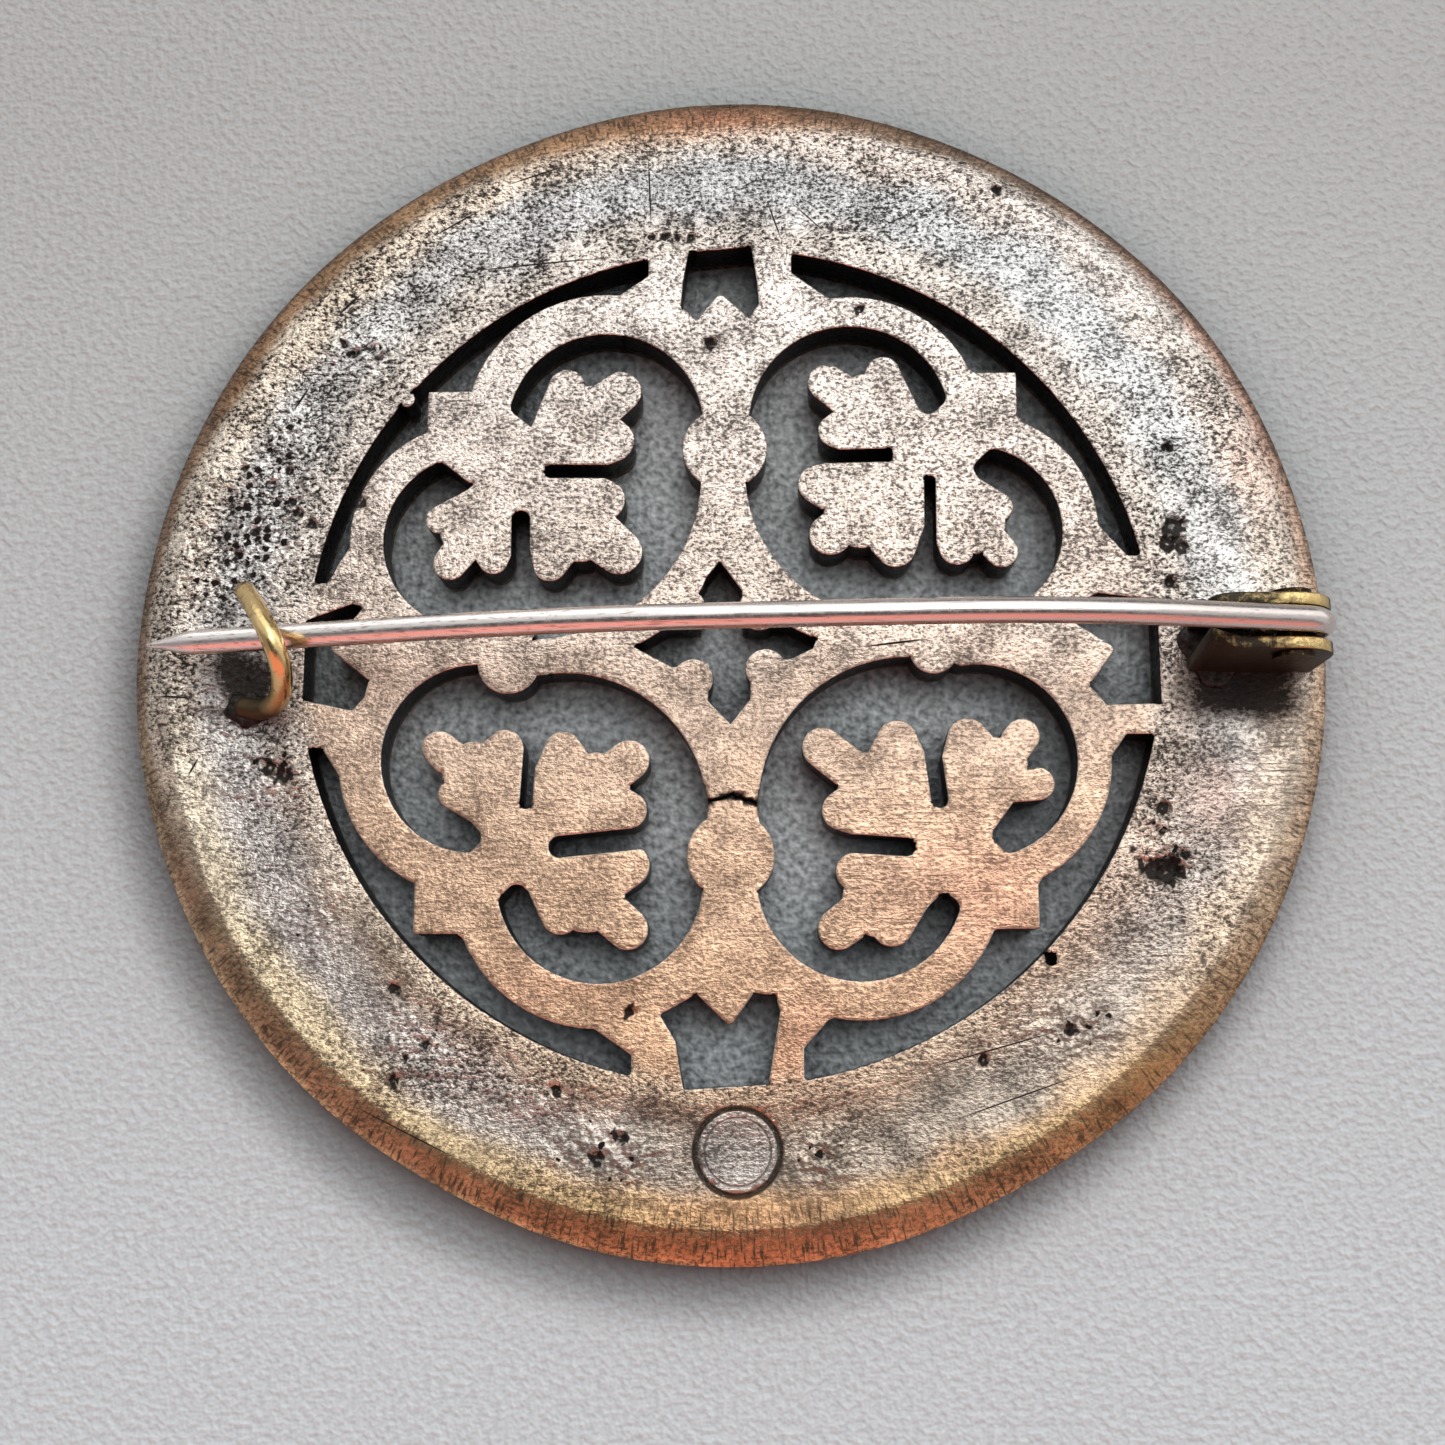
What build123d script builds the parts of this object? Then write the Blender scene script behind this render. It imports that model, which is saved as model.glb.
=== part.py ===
"""Bronze brooch: a pierced cast disc with a sprung pin, lying on its front with its back up.

All lengths are in millimetres. The origin is on the surface that the front rests on, under the
middle of the disc. +Z points out of the back, +Y to the top of the pattern and +X to the hinge.
"""

import os
from math import asin, atan2, cos, degrees, radians, sin, tan

from build123d import *

# Disc
disc_r = 30.0            # half of the 60 mm disc
disc_t = 2.6             # thickness of the casting
rim_bevel_w = 1.8        # width of the filed bevel round the back
rim_bevel_drop = 0.9     # how far that bevel falls
rim_bevel_swell = 0.1    # how far the middle of the bevel stands out
front_round = 0.7        # rounding of the front edge
channel_in_w = 1.0       # flat land between the window and the channel
channel_depth = 0.22     # depth of the shallow channel in the border

# Tracery: the tables below hold shares of pattern_r
pattern_r = 20.0
slot_reach = 1.4         # the window's edge lies this far outside pattern_r
window_r = pattern_r + slot_reach
curl_fillet = 0.6        # rounding of the curled ends of the roundels
slot_fillet = 0.25       # rounding of the ends of the slots along the border
crown_fillet = 0.22      # rounding of the corners of the holes at the stems
star_fillet = 0.14       # rounding of the tips of the star

# Maker's punch, left blank: a plain ring
punch_r = 2.05
punch_w = 0.28
punch_depth = 0.14       # below the bottom of the channel
punch_x = 0.45
punch_y = -24.6

# Crack across the neck of the lower arm
crack_w = 0.12
crack_depth = 0.5

# Pin
pin_d = 1.25
pin_y = 0.05             # the pin lies in the plane y = pin_y
pin_tip_in = 1.0         # from the left rim in to the tip
pin_tip_h = 1.1          # heights are above the back of the disc
pin_rise_share = -0.267  # place of the first bend, as a share of disc_r
pin_rise_h = 6.1
pin_crown_in = 14.0      # from the right rim in to the second bend
pin_crown_h = 8.1
pin_rise_bend = 0.53     # the part of the shorter run that each bend takes up
pin_crown_bend = 0.8
pin_point_len = 2.4      # length of the ground point
pin_point_d = 0.12       # width of its blunt end

# Hinge
rivet_in = 3.1           # from the right rim in to the rivet
rivet_h = 4.2
rivet_d = 1.45
rivet_head_d = 1.95
rivet_head_t = 0.22
running_gap = 0.05       # between the rivet and the eye of the pin
seat_gap = 0.03          # between the rivet and the ears
side_gap = 0.13          # between the pin and each ear
ear_t = 0.62
ear_l = 6.1
ear_in = 1.0             # from the right rim in to the ears
ear_h = 5.4
ear_nose_r = 2.2         # rounding at the rim end
ear_heel_r = 0.8         # rounding at the inner end
sink = 1.2               # how deep the soldered feet reach into the disc
eye_turn = 285.0         # how far the wire goes round the rivet

# Solder: a low mound at the inner end of the hinge and one at the foot of the catch
solder_h = 0.45
hinge_solder_in = 5.8    # from the right rim in to its middle
hinge_solder_l = 3.6
hinge_solder_w = 4.6
catch_solder_in = 6.0    # from the left rim in to its middle
catch_solder_y = -3.0
catch_solder_r = 1.25
solder_taper = 20.0      # slope of its sides, in degrees

# Catch
hook_d = 1.05
hook_bend = 0.45         # the part of the shorter run that each bend takes up
# Its line: how far in from the left rim, y, and height above the back
hook_line = [
    (6.1, 2.6, 2.0),
    (7.4, 1.0, 4.0),
    (8.2, -0.2, 4.8),
    (8.7, -1.7, 4.1),
    (8.2, -2.9, 1.9),
    (7.0, -3.3, 0.45),
    (5.6, -2.9, 0.1),
]

# Each quadrant of the tracery was filed by hand, so each has its own rows. Places are counted
# outwards from the middle of the disc, and every value is a share of pattern_r.
quadrants = {
    "upper_left": (-1, 1),
    "upper_right": (1, 1),
    "lower_left": (-1, -1),
    "lower_right": (1, -1),
}

# Round bays that open each roundel: x, y, radius of the upper, the lower and the inner one
bays = {
    "upper_left": [(0.315, 0.585, 0.255), (0.6475, 0.285, 0.2325), (0.4935, 0.452, 0.429)],
    "upper_right": [(0.3125, 0.595, 0.260), (0.625, 0.305, 0.225), (0.432, 0.4585, 0.390)],
    "lower_left": [(0.315, 0.5775, 0.2575), (0.6275, 0.275, 0.240), (0.410, 0.420, 0.3625)],
    "lower_right": [(0.325, 0.5725, 0.2575), (0.6225, 0.285, 0.245), (0.4525, 0.400, 0.380)],
}

# Curved slots along the border: radius of the outer edge, width of the band round the upper and
# the lower bay, then the middle x, y, width and height of the stem's end
bands = {
    "upper_left": (1.0680, 0.1025, 0.080, 0.715, 0.620, 0.110, 0.120),
    "upper_right": (1.0715, 0.075, 0.085, 0.6875, 0.665, 0.100, 0.110),
    "lower_left": (1.0815, 0.1025, 0.100, 0.715, 0.6475, 0.105, 0.120),
    "lower_right": (1.0825, 0.0875, 0.0775, 0.705, 0.645, 0.100, 0.105),
}

# Ends of those slots: x, y of the corner of the end, and of where it meets the band
slot_ends = {
    "upper_left": [(0.203, 0.995, 0.255, 0.958), (1.012, 0.172, 0.980, 0.235)],
    "upper_right": [(0.1625, 1.000, 0.250, 0.935), (1.005, 0.2325, 0.9375, 0.310)],
    "lower_left": [(0.230, 1.000, 0.325, 0.935), (1.012, 0.245, 0.950, 0.340)],
    "lower_right": [(0.180, 0.985, 0.240, 0.918), (0.985, 0.2175, 0.935, 0.290)],
}

# Leaves: x, y, radius of the heart, then the stem's two ends and half width, then how many of the
# corners beside the stem are rounded, the outer ones first, then for each lobe its middle and its
# lobelets, then the two ends and half width of each spur and of each slot between lobes
leaves = {
    "upper_left": {
        "heart": (0.500, 0.470, 0.100),
        "stem": (0.513, 0.455, 0.730, 0.630, 0.1035),
        "rounded": 2,
        "lobes": [
            [(0.370, 0.615, 0.080), (0.415, 0.695, 0.0425), (0.275, 0.680, 0.050),
             (0.295, 0.5475, 0.0525)],
            [(0.375, 0.320, 0.090), (0.315, 0.390, 0.050), (0.275, 0.2525, 0.055),
             (0.450, 0.220, 0.040)],
            [(0.650, 0.315, 0.080), (0.595, 0.235, 0.035), (0.705, 0.225, 0.040),
             (0.735, 0.340, 0.0325)],
        ],
        "spurs": [],
        "slots": [(0.220, 0.465, 0.452, 0.4675, 0.021), (0.525, 0.150, 0.5275, 0.340, 0.027)],
    },
    "upper_right": {
        "heart": (0.505, 0.485, 0.100),
        "stem": (0.515, 0.485, 0.700, 0.6675, 0.081),
        "rounded": 4,
        "lobes": [
            [(0.360, 0.635, 0.085), (0.255, 0.700, 0.045), (0.400, 0.725, 0.040),
             (0.275, 0.570, 0.040)],
            [(0.340, 0.355, 0.0925), (0.230, 0.4275, 0.0475), (0.260, 0.295, 0.050),
             (0.425, 0.260, 0.0475)],
            [(0.620, 0.325, 0.080), (0.580, 0.260, 0.0425), (0.6925, 0.2475, 0.0375),
             (0.685, 0.365, 0.035)],
        ],
        "spurs": [],
        "slots": [(0.190, 0.500, 0.405, 0.505, 0.021), (0.5125, 0.180, 0.515, 0.435, 0.018)],
    },
    "lower_left": {
        "heart": (0.500, 0.470, 0.095),
        "stem": (0.500, 0.470, 0.700, 0.665, 0.062),
        "rounded": 4,
        "lobes": [
            [(0.630, 0.315, 0.0775), (0.720, 0.250, 0.040), (0.555, 0.250, 0.0425),
             (0.680, 0.365, 0.035)],
            [(0.335, 0.355, 0.090), (0.410, 0.255, 0.0425), (0.245, 0.2825, 0.0475),
             (0.245, 0.4075, 0.0425)],
            [(0.345, 0.615, 0.090), (0.245, 0.545, 0.050), (0.245, 0.700, 0.0475),
             (0.410, 0.665, 0.045)],
        ],
        "spurs": [],
        "slots": [(0.4875, 0.180, 0.500, 0.388, 0.019), (0.190, 0.475, 0.415, 0.4975, 0.030)],
    },
    "lower_right": {
        "heart": (0.525, 0.490, 0.100),
        "stem": (0.530, 0.485, 0.705, 0.6575, 0.0825),
        "rounded": 4,
        "lobes": [
            [(0.660, 0.310, 0.080), (0.595, 0.230, 0.0475), (0.730, 0.225, 0.040)],
            [(0.360, 0.350, 0.085), (0.235, 0.2525, 0.0475), (0.420, 0.235, 0.0475),
             (0.280, 0.410, 0.045)],
            [(0.370, 0.630, 0.0875), (0.310, 0.560, 0.0425), (0.270, 0.700, 0.0475),
             (0.400, 0.6925, 0.0475)],
        ],
        "spurs": [(0.645, 0.355, 0.765, 0.345, 0.0375)],
        "slots": [(0.4975, 0.180, 0.5225, 0.383, 0.024), (0.210, 0.485, 0.438, 0.500, 0.026)],
    },
}

# Knobs on the four arms between the roundels: x, y, radius
arm_knobs = [
    (-0.0075, 0.525, 0.105),
    (0.0075, -0.520, 0.105),
    (-0.550, -0.035, 0.075),
    (-0.550, 0.040, 0.060),
    (0.515, -0.005, 0.0575),
    (0.515, 0.040, 0.050),
]

# Four-pointed star in the middle: its outline, and the knobs that stand in its corners
star = [
    (-0.020, 0.2325), (0.040, 0.150), (0.0375, 0.060), (0.150, 0.0625),
    (0.2275, 0.025), (0.215, -0.004), (0.160, -0.030), (0.060, -0.035),
    (0.060, -0.130), (0.0075, -0.1975), (-0.0525, -0.135), (-0.050, -0.040),
    (-0.140, -0.050), (-0.2425, 0.005), (-0.160, 0.055), (-0.070, 0.060),
    (-0.0725, 0.145), (-0.058, 0.185),
]
star_tips = 4
star_knobs = [
    (0.080, 0.100, 0.050), (0.095, -0.0525, 0.0475),
    (-0.0875, -0.0775, 0.0475), (-0.110, 0.105, 0.050),
]

# Crown-shaped holes between the stems: to the right of the stem's arm, and out from the middle.
# The turn is the arm's direction, counted from the upper arm.
crowns = [
    (0, [(-0.105, 1.065), (0.065, 1.080), (0.080, 0.975), (0.085, 0.915), (0.055, 0.875),
         (-0.020, 0.943), (-0.080, 0.868), (-0.125, 0.910), (-0.120, 0.975)]),
    (-90, [(-0.1225, 1.080), (0.1475, 1.080), (0.150, 0.940), (0.0975, 0.895),
           (0.005, 0.965), (-0.060, 0.865), (-0.130, 0.903), (-0.1425, 0.930)]),
    (180, [(-0.100, 1.075), (0.110, 1.088), (0.130, 0.970), (0.170, 0.905), (0.075, 0.853),
           (-0.005, 0.930), (-0.060, 0.853), (-0.115, 0.855), (-0.130, 0.895)]),
    (90, [(-0.130, 1.070), (0.080, 1.070), (0.125, 0.950), (0.115, 0.915),
          (0.005, 1.000), (-0.075, 0.898), (-0.120, 0.908), (-0.158, 0.940)]),
]

# Flaws at the window's edge: a burr that stands in, and a nick filed out of it: x, y, radius
burr = (-0.830, 0.665, 0.018)
nick = (0.783, -0.772, 0.018)

# The crack's zigzag: x, y
crack = [
    (-0.065, -0.390), (-0.042, -0.3845), (-0.020, -0.380), (0.000, -0.374), (0.0125, -0.3675),
    (0.020, -0.3775), (0.030, -0.375), (0.045, -0.385), (0.0525, -0.3825), (0.090, -0.404),
]


def place(x, y, side=(1, 1)):
    """A point of the tables in millimetres, in the quadrant that side names."""
    return Vector(side[0] * x * pattern_r, side[1] * y * pattern_r)


def disc_at(x, y, r, side=(1, 1)):
    """A round face from one row of a table."""
    with BuildSketch(mode=Mode.PRIVATE) as face:
        with Locations(place(x, y, side)):
            Circle(r * pattern_r)
    return face.sketch


def bar(start, end, r):
    """A round-ended bar between two points in millimetres."""
    run = end - start
    with BuildSketch(mode=Mode.PRIVATE) as face:
        with Locations((start + end) / 2):
            SlotCenterToCenter(run.length, 2 * r, rotation=degrees(atan2(run.Y, run.X)))
    return face.sketch


def outline(points):
    """A closed face through points in millimetres."""
    with BuildSketch(mode=Mode.PRIVATE) as face:
        with BuildLine():
            Polyline(points, close=True)
        make_face()
    return face.sketch


def leaf(name):
    """The leaf that grows in from the roundel's outer corner, with its slots cut."""
    side = quadrants[name]
    form = leaves[name]
    heart_x, heart_y, heart_r = form["heart"]
    stem_x0, stem_y0, stem_x1, stem_y1, stem_r = form["stem"]
    heart = place(heart_x, heart_y, side)
    blades = [bar(place(stem_x0, stem_y0, side), place(stem_x1, stem_y1, side),
                  stem_r * pattern_r)]
    for hub, *lobelets in form["lobes"]:
        middle = place(hub[0], hub[1], side)
        blades.append(bar(heart, middle, hub[2] * pattern_r))
        for x, y, r in lobelets:
            blades.append(bar(middle, place(x, y, side), r * pattern_r))
            blades.append(bar(heart, place(x, y, side), r * pattern_r))
    for x0, y0, x1, y1, r in form["spurs"]:
        blades.append(bar(place(x0, y0, side), place(x1, y1, side), r * pattern_r))
    cuts = []
    for x0, y0, x1, y1, r in form["slots"]:
        cuts.append(bar(place(x0, y0, side), place(x1, y1, side), r * pattern_r))
    with BuildSketch(mode=Mode.PRIVATE) as face:
        add(disc_at(heart_x, heart_y, heart_r, side))
        add(blades)
        add(cuts, mode=Mode.SUBTRACT)
    return face.sketch


def on_flank(corner, stem, side):
    """Whether a corner lies on one of the two long edges of a stem."""
    x0, y0, x1, y1, r = stem
    start = place(x0, y0, side)
    run = (place(x1, y1, side) - start).normalized()
    reach = corner.center() - start
    offset = abs(run.cross(reach).Z) - r * pattern_r
    return run.dot(reach) > 0 and abs(offset) < curl_fillet / 100


def roundel(name):
    """The opening of one roundel: three bays, less the leaf and the knobs of the arms."""
    side = quadrants[name]
    upper, lower, inner = bays[name]
    upper_mid = place(upper[0], upper[1], side)
    lower_mid = place(lower[0], lower[1], side)
    with BuildSketch(mode=Mode.PRIVATE) as face:
        add(disc_at(*inner, side))
        add(outline([Vector(0, 0), Vector(lower_mid.X, 0), lower_mid, upper_mid,
                     Vector(0, upper_mid.Y)]), mode=Mode.INTERSECT)
        add([disc_at(*upper, side), disc_at(*lower, side)])
        knobs = [disc_at(*knob) for knob in arm_knobs]
        add([leaf(name), *knobs], mode=Mode.SUBTRACT)
        stem = leaves[name]["stem"]
        corners = face.vertices().filter_by(lambda corner: on_flank(corner, stem, side))
        fillet(corners.sort_by_distance((0, 0))[-leaves[name]["rounded"]:], curl_fillet)
    return face.sketch


def border_slot(name):
    """The curved slot between the border and a roundel's band, from stem to stem."""
    side = quadrants[name]
    upper, lower, _ = bays[name]
    edge_r, band_upper, band_lower, knob_x, knob_y, knob_w, knob_h = bands[name]
    (ux, uy, utx, uty), (lx, ly, ltx, lty) = slot_ends[name]
    reach = disc_r / pattern_r
    with BuildSketch(mode=Mode.PRIVATE) as face:
        Circle(edge_r * pattern_r)
        add(outline([
            place(ux, ly, side), place(ux, reach, side), place(reach, reach, side),
            place(reach, ly, side),
        ]), mode=Mode.INTERSECT)
        add(disc_at(upper[0], upper[1], upper[2] + band_upper, side), mode=Mode.SUBTRACT)
        add(disc_at(lower[0], lower[1], lower[2] + band_lower, side), mode=Mode.SUBTRACT)
        with Locations(place(knob_x, knob_y, side)):
            Rectangle(knob_w * pattern_r, knob_h * pattern_r, mode=Mode.SUBTRACT)
        add(outline([
            place(0, 0, side), place(0, uy, side), place(ux, uy, side), place(utx, uty, side),
            place(knob_x - knob_w / 2, knob_y + knob_h / 2, side),
            place(knob_x + knob_w / 2, knob_y - knob_h / 2, side),
            place(ltx, lty, side), place(lx, ly, side), place(lx, 0, side),
        ]), mode=Mode.SUBTRACT)
        upper_end = face.vertices().sort_by(lambda corner: abs(corner.X))[:2]
        lower_end = face.vertices().sort_by(lambda corner: abs(corner.Y))[:2]
        fillet([*upper_end, *lower_end], slot_fillet)
    return face.sketch


def crown(turn, rows):
    """The hole between two stems."""
    points = [place(across, out).rotate(Axis.Z, turn) for across, out in rows]
    with BuildSketch(mode=Mode.PRIVATE) as face:
        add(outline(points))
        fillet(face.vertices(), crown_fillet)
    return face.sketch


def star_hole():
    """The hole in the middle, with its four knobs left standing."""
    with BuildSketch(mode=Mode.PRIVATE) as face:
        add(outline([place(x, y) for x, y in star]))
        fillet(face.vertices().sort_by_distance((0, 0))[-star_tips:], star_fillet)
        add([disc_at(*knob) for knob in star_knobs], mode=Mode.SUBTRACT)
    return face.sketch


# Places that the disc's fittings share
back = disc_t
rivet_x = disc_r - rivet_in
hinge_z = back + rivet_h
near_cheek_y = pin_y - pin_d / 2 - side_gap            # inner face of the lower ear
far_cheek_y = pin_y + pin_d / 2 + side_gap + ear_t     # outer face of the upper ear

def bend_radii(points, shares):
    """Radii of the bends of a wire, from the part of the shorter run that each one takes up."""
    radii = []
    for before, corner, after, share in zip(points, points[1:], points[2:], shares):
        turn = (corner - before).get_angle(after - corner)
        run = min((corner - before).length, (after - corner).length)
        radii.append(share * run / tan(radians(turn / 2)))
    return radii


# Cast disc, with the ears and the catch that are soldered to it
with BuildPart() as brooch_disc:
    with BuildSketch(Plane.XZ) as section:
        channel_out_r = disc_r - rim_bevel_w
        channel_in_r = window_r + channel_in_w
        channel_mid_r = (channel_out_r + channel_in_r) / 2
        bevel_mid = (disc_r - rim_bevel_w / 2 + rim_bevel_swell,
                     disc_t - rim_bevel_drop / 2 + rim_bevel_swell)
        front_mid = front_round * (1 - cos(radians(45)))
        with BuildLine():
            Polyline((0, disc_t), (0, 0), (disc_r - front_round, 0))
            ThreePointArc((disc_r - front_round, 0), (disc_r - front_mid, front_mid),
                          (disc_r, front_round))
            Line((disc_r, front_round), (disc_r, disc_t - rim_bevel_drop))
            ThreePointArc((disc_r, disc_t - rim_bevel_drop), bevel_mid, (channel_out_r, disc_t))
            ThreePointArc((channel_out_r, disc_t), (channel_mid_r, disc_t - channel_depth),
                          (channel_in_r, disc_t))
            Line((channel_in_r, disc_t), (0, disc_t))
        make_face()
    revolve(axis=Axis.Z)

    with BuildSketch() as openings:
        for name in quadrants:
            add([roundel(name), border_slot(name)])
        add(disc_at(*burr), mode=Mode.SUBTRACT)
        add(disc_at(*nick))
        add([crown(turn, rows) for turn, rows in crowns])
        add(star_hole())
    extrude(amount=disc_t, mode=Mode.SUBTRACT)

    with BuildSketch(Plane.XY.offset(disc_t)) as punch:
        with Locations((punch_x, punch_y)):
            Circle(punch_r + punch_w / 2)
            Circle(punch_r - punch_w / 2, mode=Mode.SUBTRACT)
    extrude(amount=-channel_depth - punch_depth, mode=Mode.SUBTRACT)

    with BuildSketch(Plane.XY.offset(disc_t)) as cleft:
        with BuildLine():
            Polyline([place(x, y) for x, y in crack])
        trace(line_width=crack_w)
    extrude(amount=-crack_depth, mode=Mode.SUBTRACT)

    for cheek_y in (far_cheek_y, near_cheek_y):
        with BuildSketch(Plane.XZ.offset(-cheek_y)) as ear:
            with Locations((disc_r - ear_in, back - sink)):
                Rectangle(ear_l, ear_h + sink, align=(Align.MAX, Align.MIN))
            fillet(ear.vertices().group_by(Axis.Y)[-1].sort_by(Axis.X)[-1], ear_nose_r)
            fillet(ear.vertices().group_by(Axis.Y)[-1].sort_by(Axis.X)[0], ear_heel_r)
            with Locations((rivet_x, hinge_z)):
                Circle(rivet_d / 2 + seat_gap, mode=Mode.SUBTRACT)
        extrude(amount=ear_t)

    with BuildSketch(Plane.XY.offset(back - sink)) as mounds:
        with Locations((disc_r - hinge_solder_in, pin_y)):
            RectangleRounded(hinge_solder_l, hinge_solder_w, hinge_solder_l / 3)
        with Locations((catch_solder_in - disc_r, catch_solder_y)):
            Circle(catch_solder_r)
    extrude(amount=sink + solder_h, taper=solder_taper)

    with BuildLine() as hook_path:
        hook_points = [Vector(x - disc_r, y, back + h) for x, y, h in hook_line]
        bends = [hook_bend] * (len(hook_line) - 2)
        FilletPolyline(hook_points, radius=bend_radii(hook_points, bends))
    with BuildSketch(Plane(origin=hook_path.line @ 0, z_dir=hook_path.line % 0)):
        Circle(hook_d / 2)
    sweep(path=hook_path.line)
    with Locations(hook_points[0]):
        Sphere(hook_d / 2)

brooch_disc.part.label = "brooch_disc"

# Rivet, with its two small heads
with BuildPart() as hinge_rivet:
    head_gap = seat_gap + rivet_head_t
    far_end_y = far_cheek_y + head_gap
    near_end_y = near_cheek_y - ear_t - head_gap
    for top_y, length, width in (
        (far_end_y, far_end_y - near_end_y, rivet_d),
        (far_end_y, rivet_head_t, rivet_head_d),
        (near_end_y + rivet_head_t, rivet_head_t, rivet_head_d),
    ):
        with BuildSketch(Plane.XZ.offset(-top_y)):
            with Locations((rivet_x, hinge_z)):
                Circle(width / 2)
        extrude(amount=length)

hinge_rivet.part.label = "hinge_rivet"

# Pin: sprung wire, wound round the rivet at one end and ground to a point at the other
with BuildPart() as pin_stem:
    eye_r = rivet_d / 2 + running_gap + pin_d / 2
    hinge_at = Vector(rivet_x, pin_y, hinge_z)
    crown_at = Vector(disc_r - pin_crown_in, pin_y, back + pin_crown_h)
    rise_at = Vector(pin_rise_share * disc_r, pin_y, back + pin_rise_h)
    tip_at = Vector(pin_tip_in - disc_r, pin_y, back + pin_tip_h)
    reach = hinge_at - crown_at
    slope = atan2(reach.Z, reach.X) + asin(eye_r / reach.length)
    straight = (reach.length**2 - eye_r**2) ** 0.5
    eye_start = crown_at + Vector(cos(slope), 0, sin(slope)) * straight
    shoulder_at = tip_at + (rise_at - tip_at).normalized() * pin_point_len
    pin_points = [shoulder_at, rise_at, crown_at, eye_start]
    with BuildLine(Plane.XZ.offset(-pin_y)) as pin_path:
        FilletPolyline(pin_points, radius=bend_radii(pin_points, [pin_rise_bend, pin_crown_bend]))
        CenterArc(hinge_at, eye_r, 90 + degrees(slope), -eye_turn)
    shoulder = Plane(origin=pin_path.line @ 0, z_dir=pin_path.line % 0)
    with BuildSketch(shoulder):
        Circle(pin_d / 2)
    sweep(path=pin_path.line)
    with BuildSketch(shoulder):
        Circle(pin_d / 2)
    with BuildSketch(shoulder.offset(-pin_point_len)):
        Circle(pin_point_d / 2)
    loft()

pin_stem.part.label = "pin_stem"

os.makedirs("parts", exist_ok=True)
for piece in (brooch_disc, hinge_rivet, pin_stem):
    export_step(piece.part, f"parts/{piece.part.label}.step")
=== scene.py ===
"""Bronze brooch, shown from behind: a pierced cast disc, its sprung pin, hinge and catch.

Lengths in the tables are millimetres from the middle of the disc, +X to the hinge and +Y to the
top of the pattern. Everything in the scene itself is in metres.
"""

import math

import bmesh
import bpy
from mathutils import Matrix, Vector, noise
from mathutils.geometry import intersect_point_line


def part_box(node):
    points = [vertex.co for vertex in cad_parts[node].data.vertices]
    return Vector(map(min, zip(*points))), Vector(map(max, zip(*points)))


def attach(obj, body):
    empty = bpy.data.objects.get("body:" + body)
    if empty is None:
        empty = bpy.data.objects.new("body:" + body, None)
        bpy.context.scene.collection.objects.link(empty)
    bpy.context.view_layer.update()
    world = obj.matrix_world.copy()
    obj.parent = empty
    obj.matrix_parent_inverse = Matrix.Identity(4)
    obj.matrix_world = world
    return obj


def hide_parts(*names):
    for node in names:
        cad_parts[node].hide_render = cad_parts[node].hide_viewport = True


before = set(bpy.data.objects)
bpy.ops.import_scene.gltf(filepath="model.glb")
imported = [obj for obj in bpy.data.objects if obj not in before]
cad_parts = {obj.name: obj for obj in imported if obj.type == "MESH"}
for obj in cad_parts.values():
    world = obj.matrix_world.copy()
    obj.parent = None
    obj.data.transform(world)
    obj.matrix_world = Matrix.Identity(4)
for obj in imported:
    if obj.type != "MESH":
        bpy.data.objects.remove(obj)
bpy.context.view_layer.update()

# Cast disc: one bronze casting, pierced right through, with a plain border round the tracery.
# The back is the bare cast skin, trimmed with a file here and there, and the rim is filed to a
# bevel. Years of wear have polished the high metal and left black dirt in every pit.
mm = 0.001
disc_low, disc_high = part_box("brooch_disc")
disc_r = (disc_high.x - disc_low.x) / 2
back_z = 2.6 * mm                  # plane of the back
skin_low_z = 1.6 * mm              # nothing of the back lies lower than this
channel_in_r = 22.4 * mm           # the border's shallow channel lies between these two
channel_out_r = 28.2 * mm
channel_depth = 0.22 * mm
bevel_drop = 0.9 * mm
bevel_swell = 0.6 * mm
weld = 0.001 * mm
grid_step = 0.3 * mm
grid_phase = 0.137                 # keeps the grid off the pattern's own lines
fitting_cut = 0.005 * mm           # the soldered fittings are parted this far above the back


def border_z(r):
    """Height of the plain border at a distance r from the middle, before any wear."""
    if r < channel_in_r:
        return back_z
    if r < channel_out_r:
        half = (channel_out_r - channel_in_r) / 2
        sweep_r = (half**2 + channel_depth**2) / (2 * channel_depth)
        away = r - (channel_in_r + channel_out_r) / 2
        return back_z - channel_depth + sweep_r - math.sqrt(sweep_r**2 - away**2)
    share = (r - channel_out_r) / (disc_r - channel_out_r)
    return back_z - bevel_drop * share + bevel_swell * share * (1 - share)


cast = bmesh.new()
cast.from_mesh(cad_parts["brooch_disc"].data)
bmesh.ops.remove_doubles(cast, verts=cast.verts, dist=weld)
bmesh.ops.bisect_plane(
    cast, geom=cast.verts[:] + cast.edges[:] + cast.faces[:], dist=weld / 10,
    plane_co=(0, 0, back_z + fitting_cut), plane_no=(0, 0, 1), clear_outer=True)
bmesh.ops.holes_fill(cast, edges=[edge for edge in cast.edges if edge.is_boundary], sides=0)
deep = [face for face in cast.faces if min(corner.co.z for corner in face.verts) < skin_low_z]
bmesh.ops.delete(cast, geom=deep, context="FACES")

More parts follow.
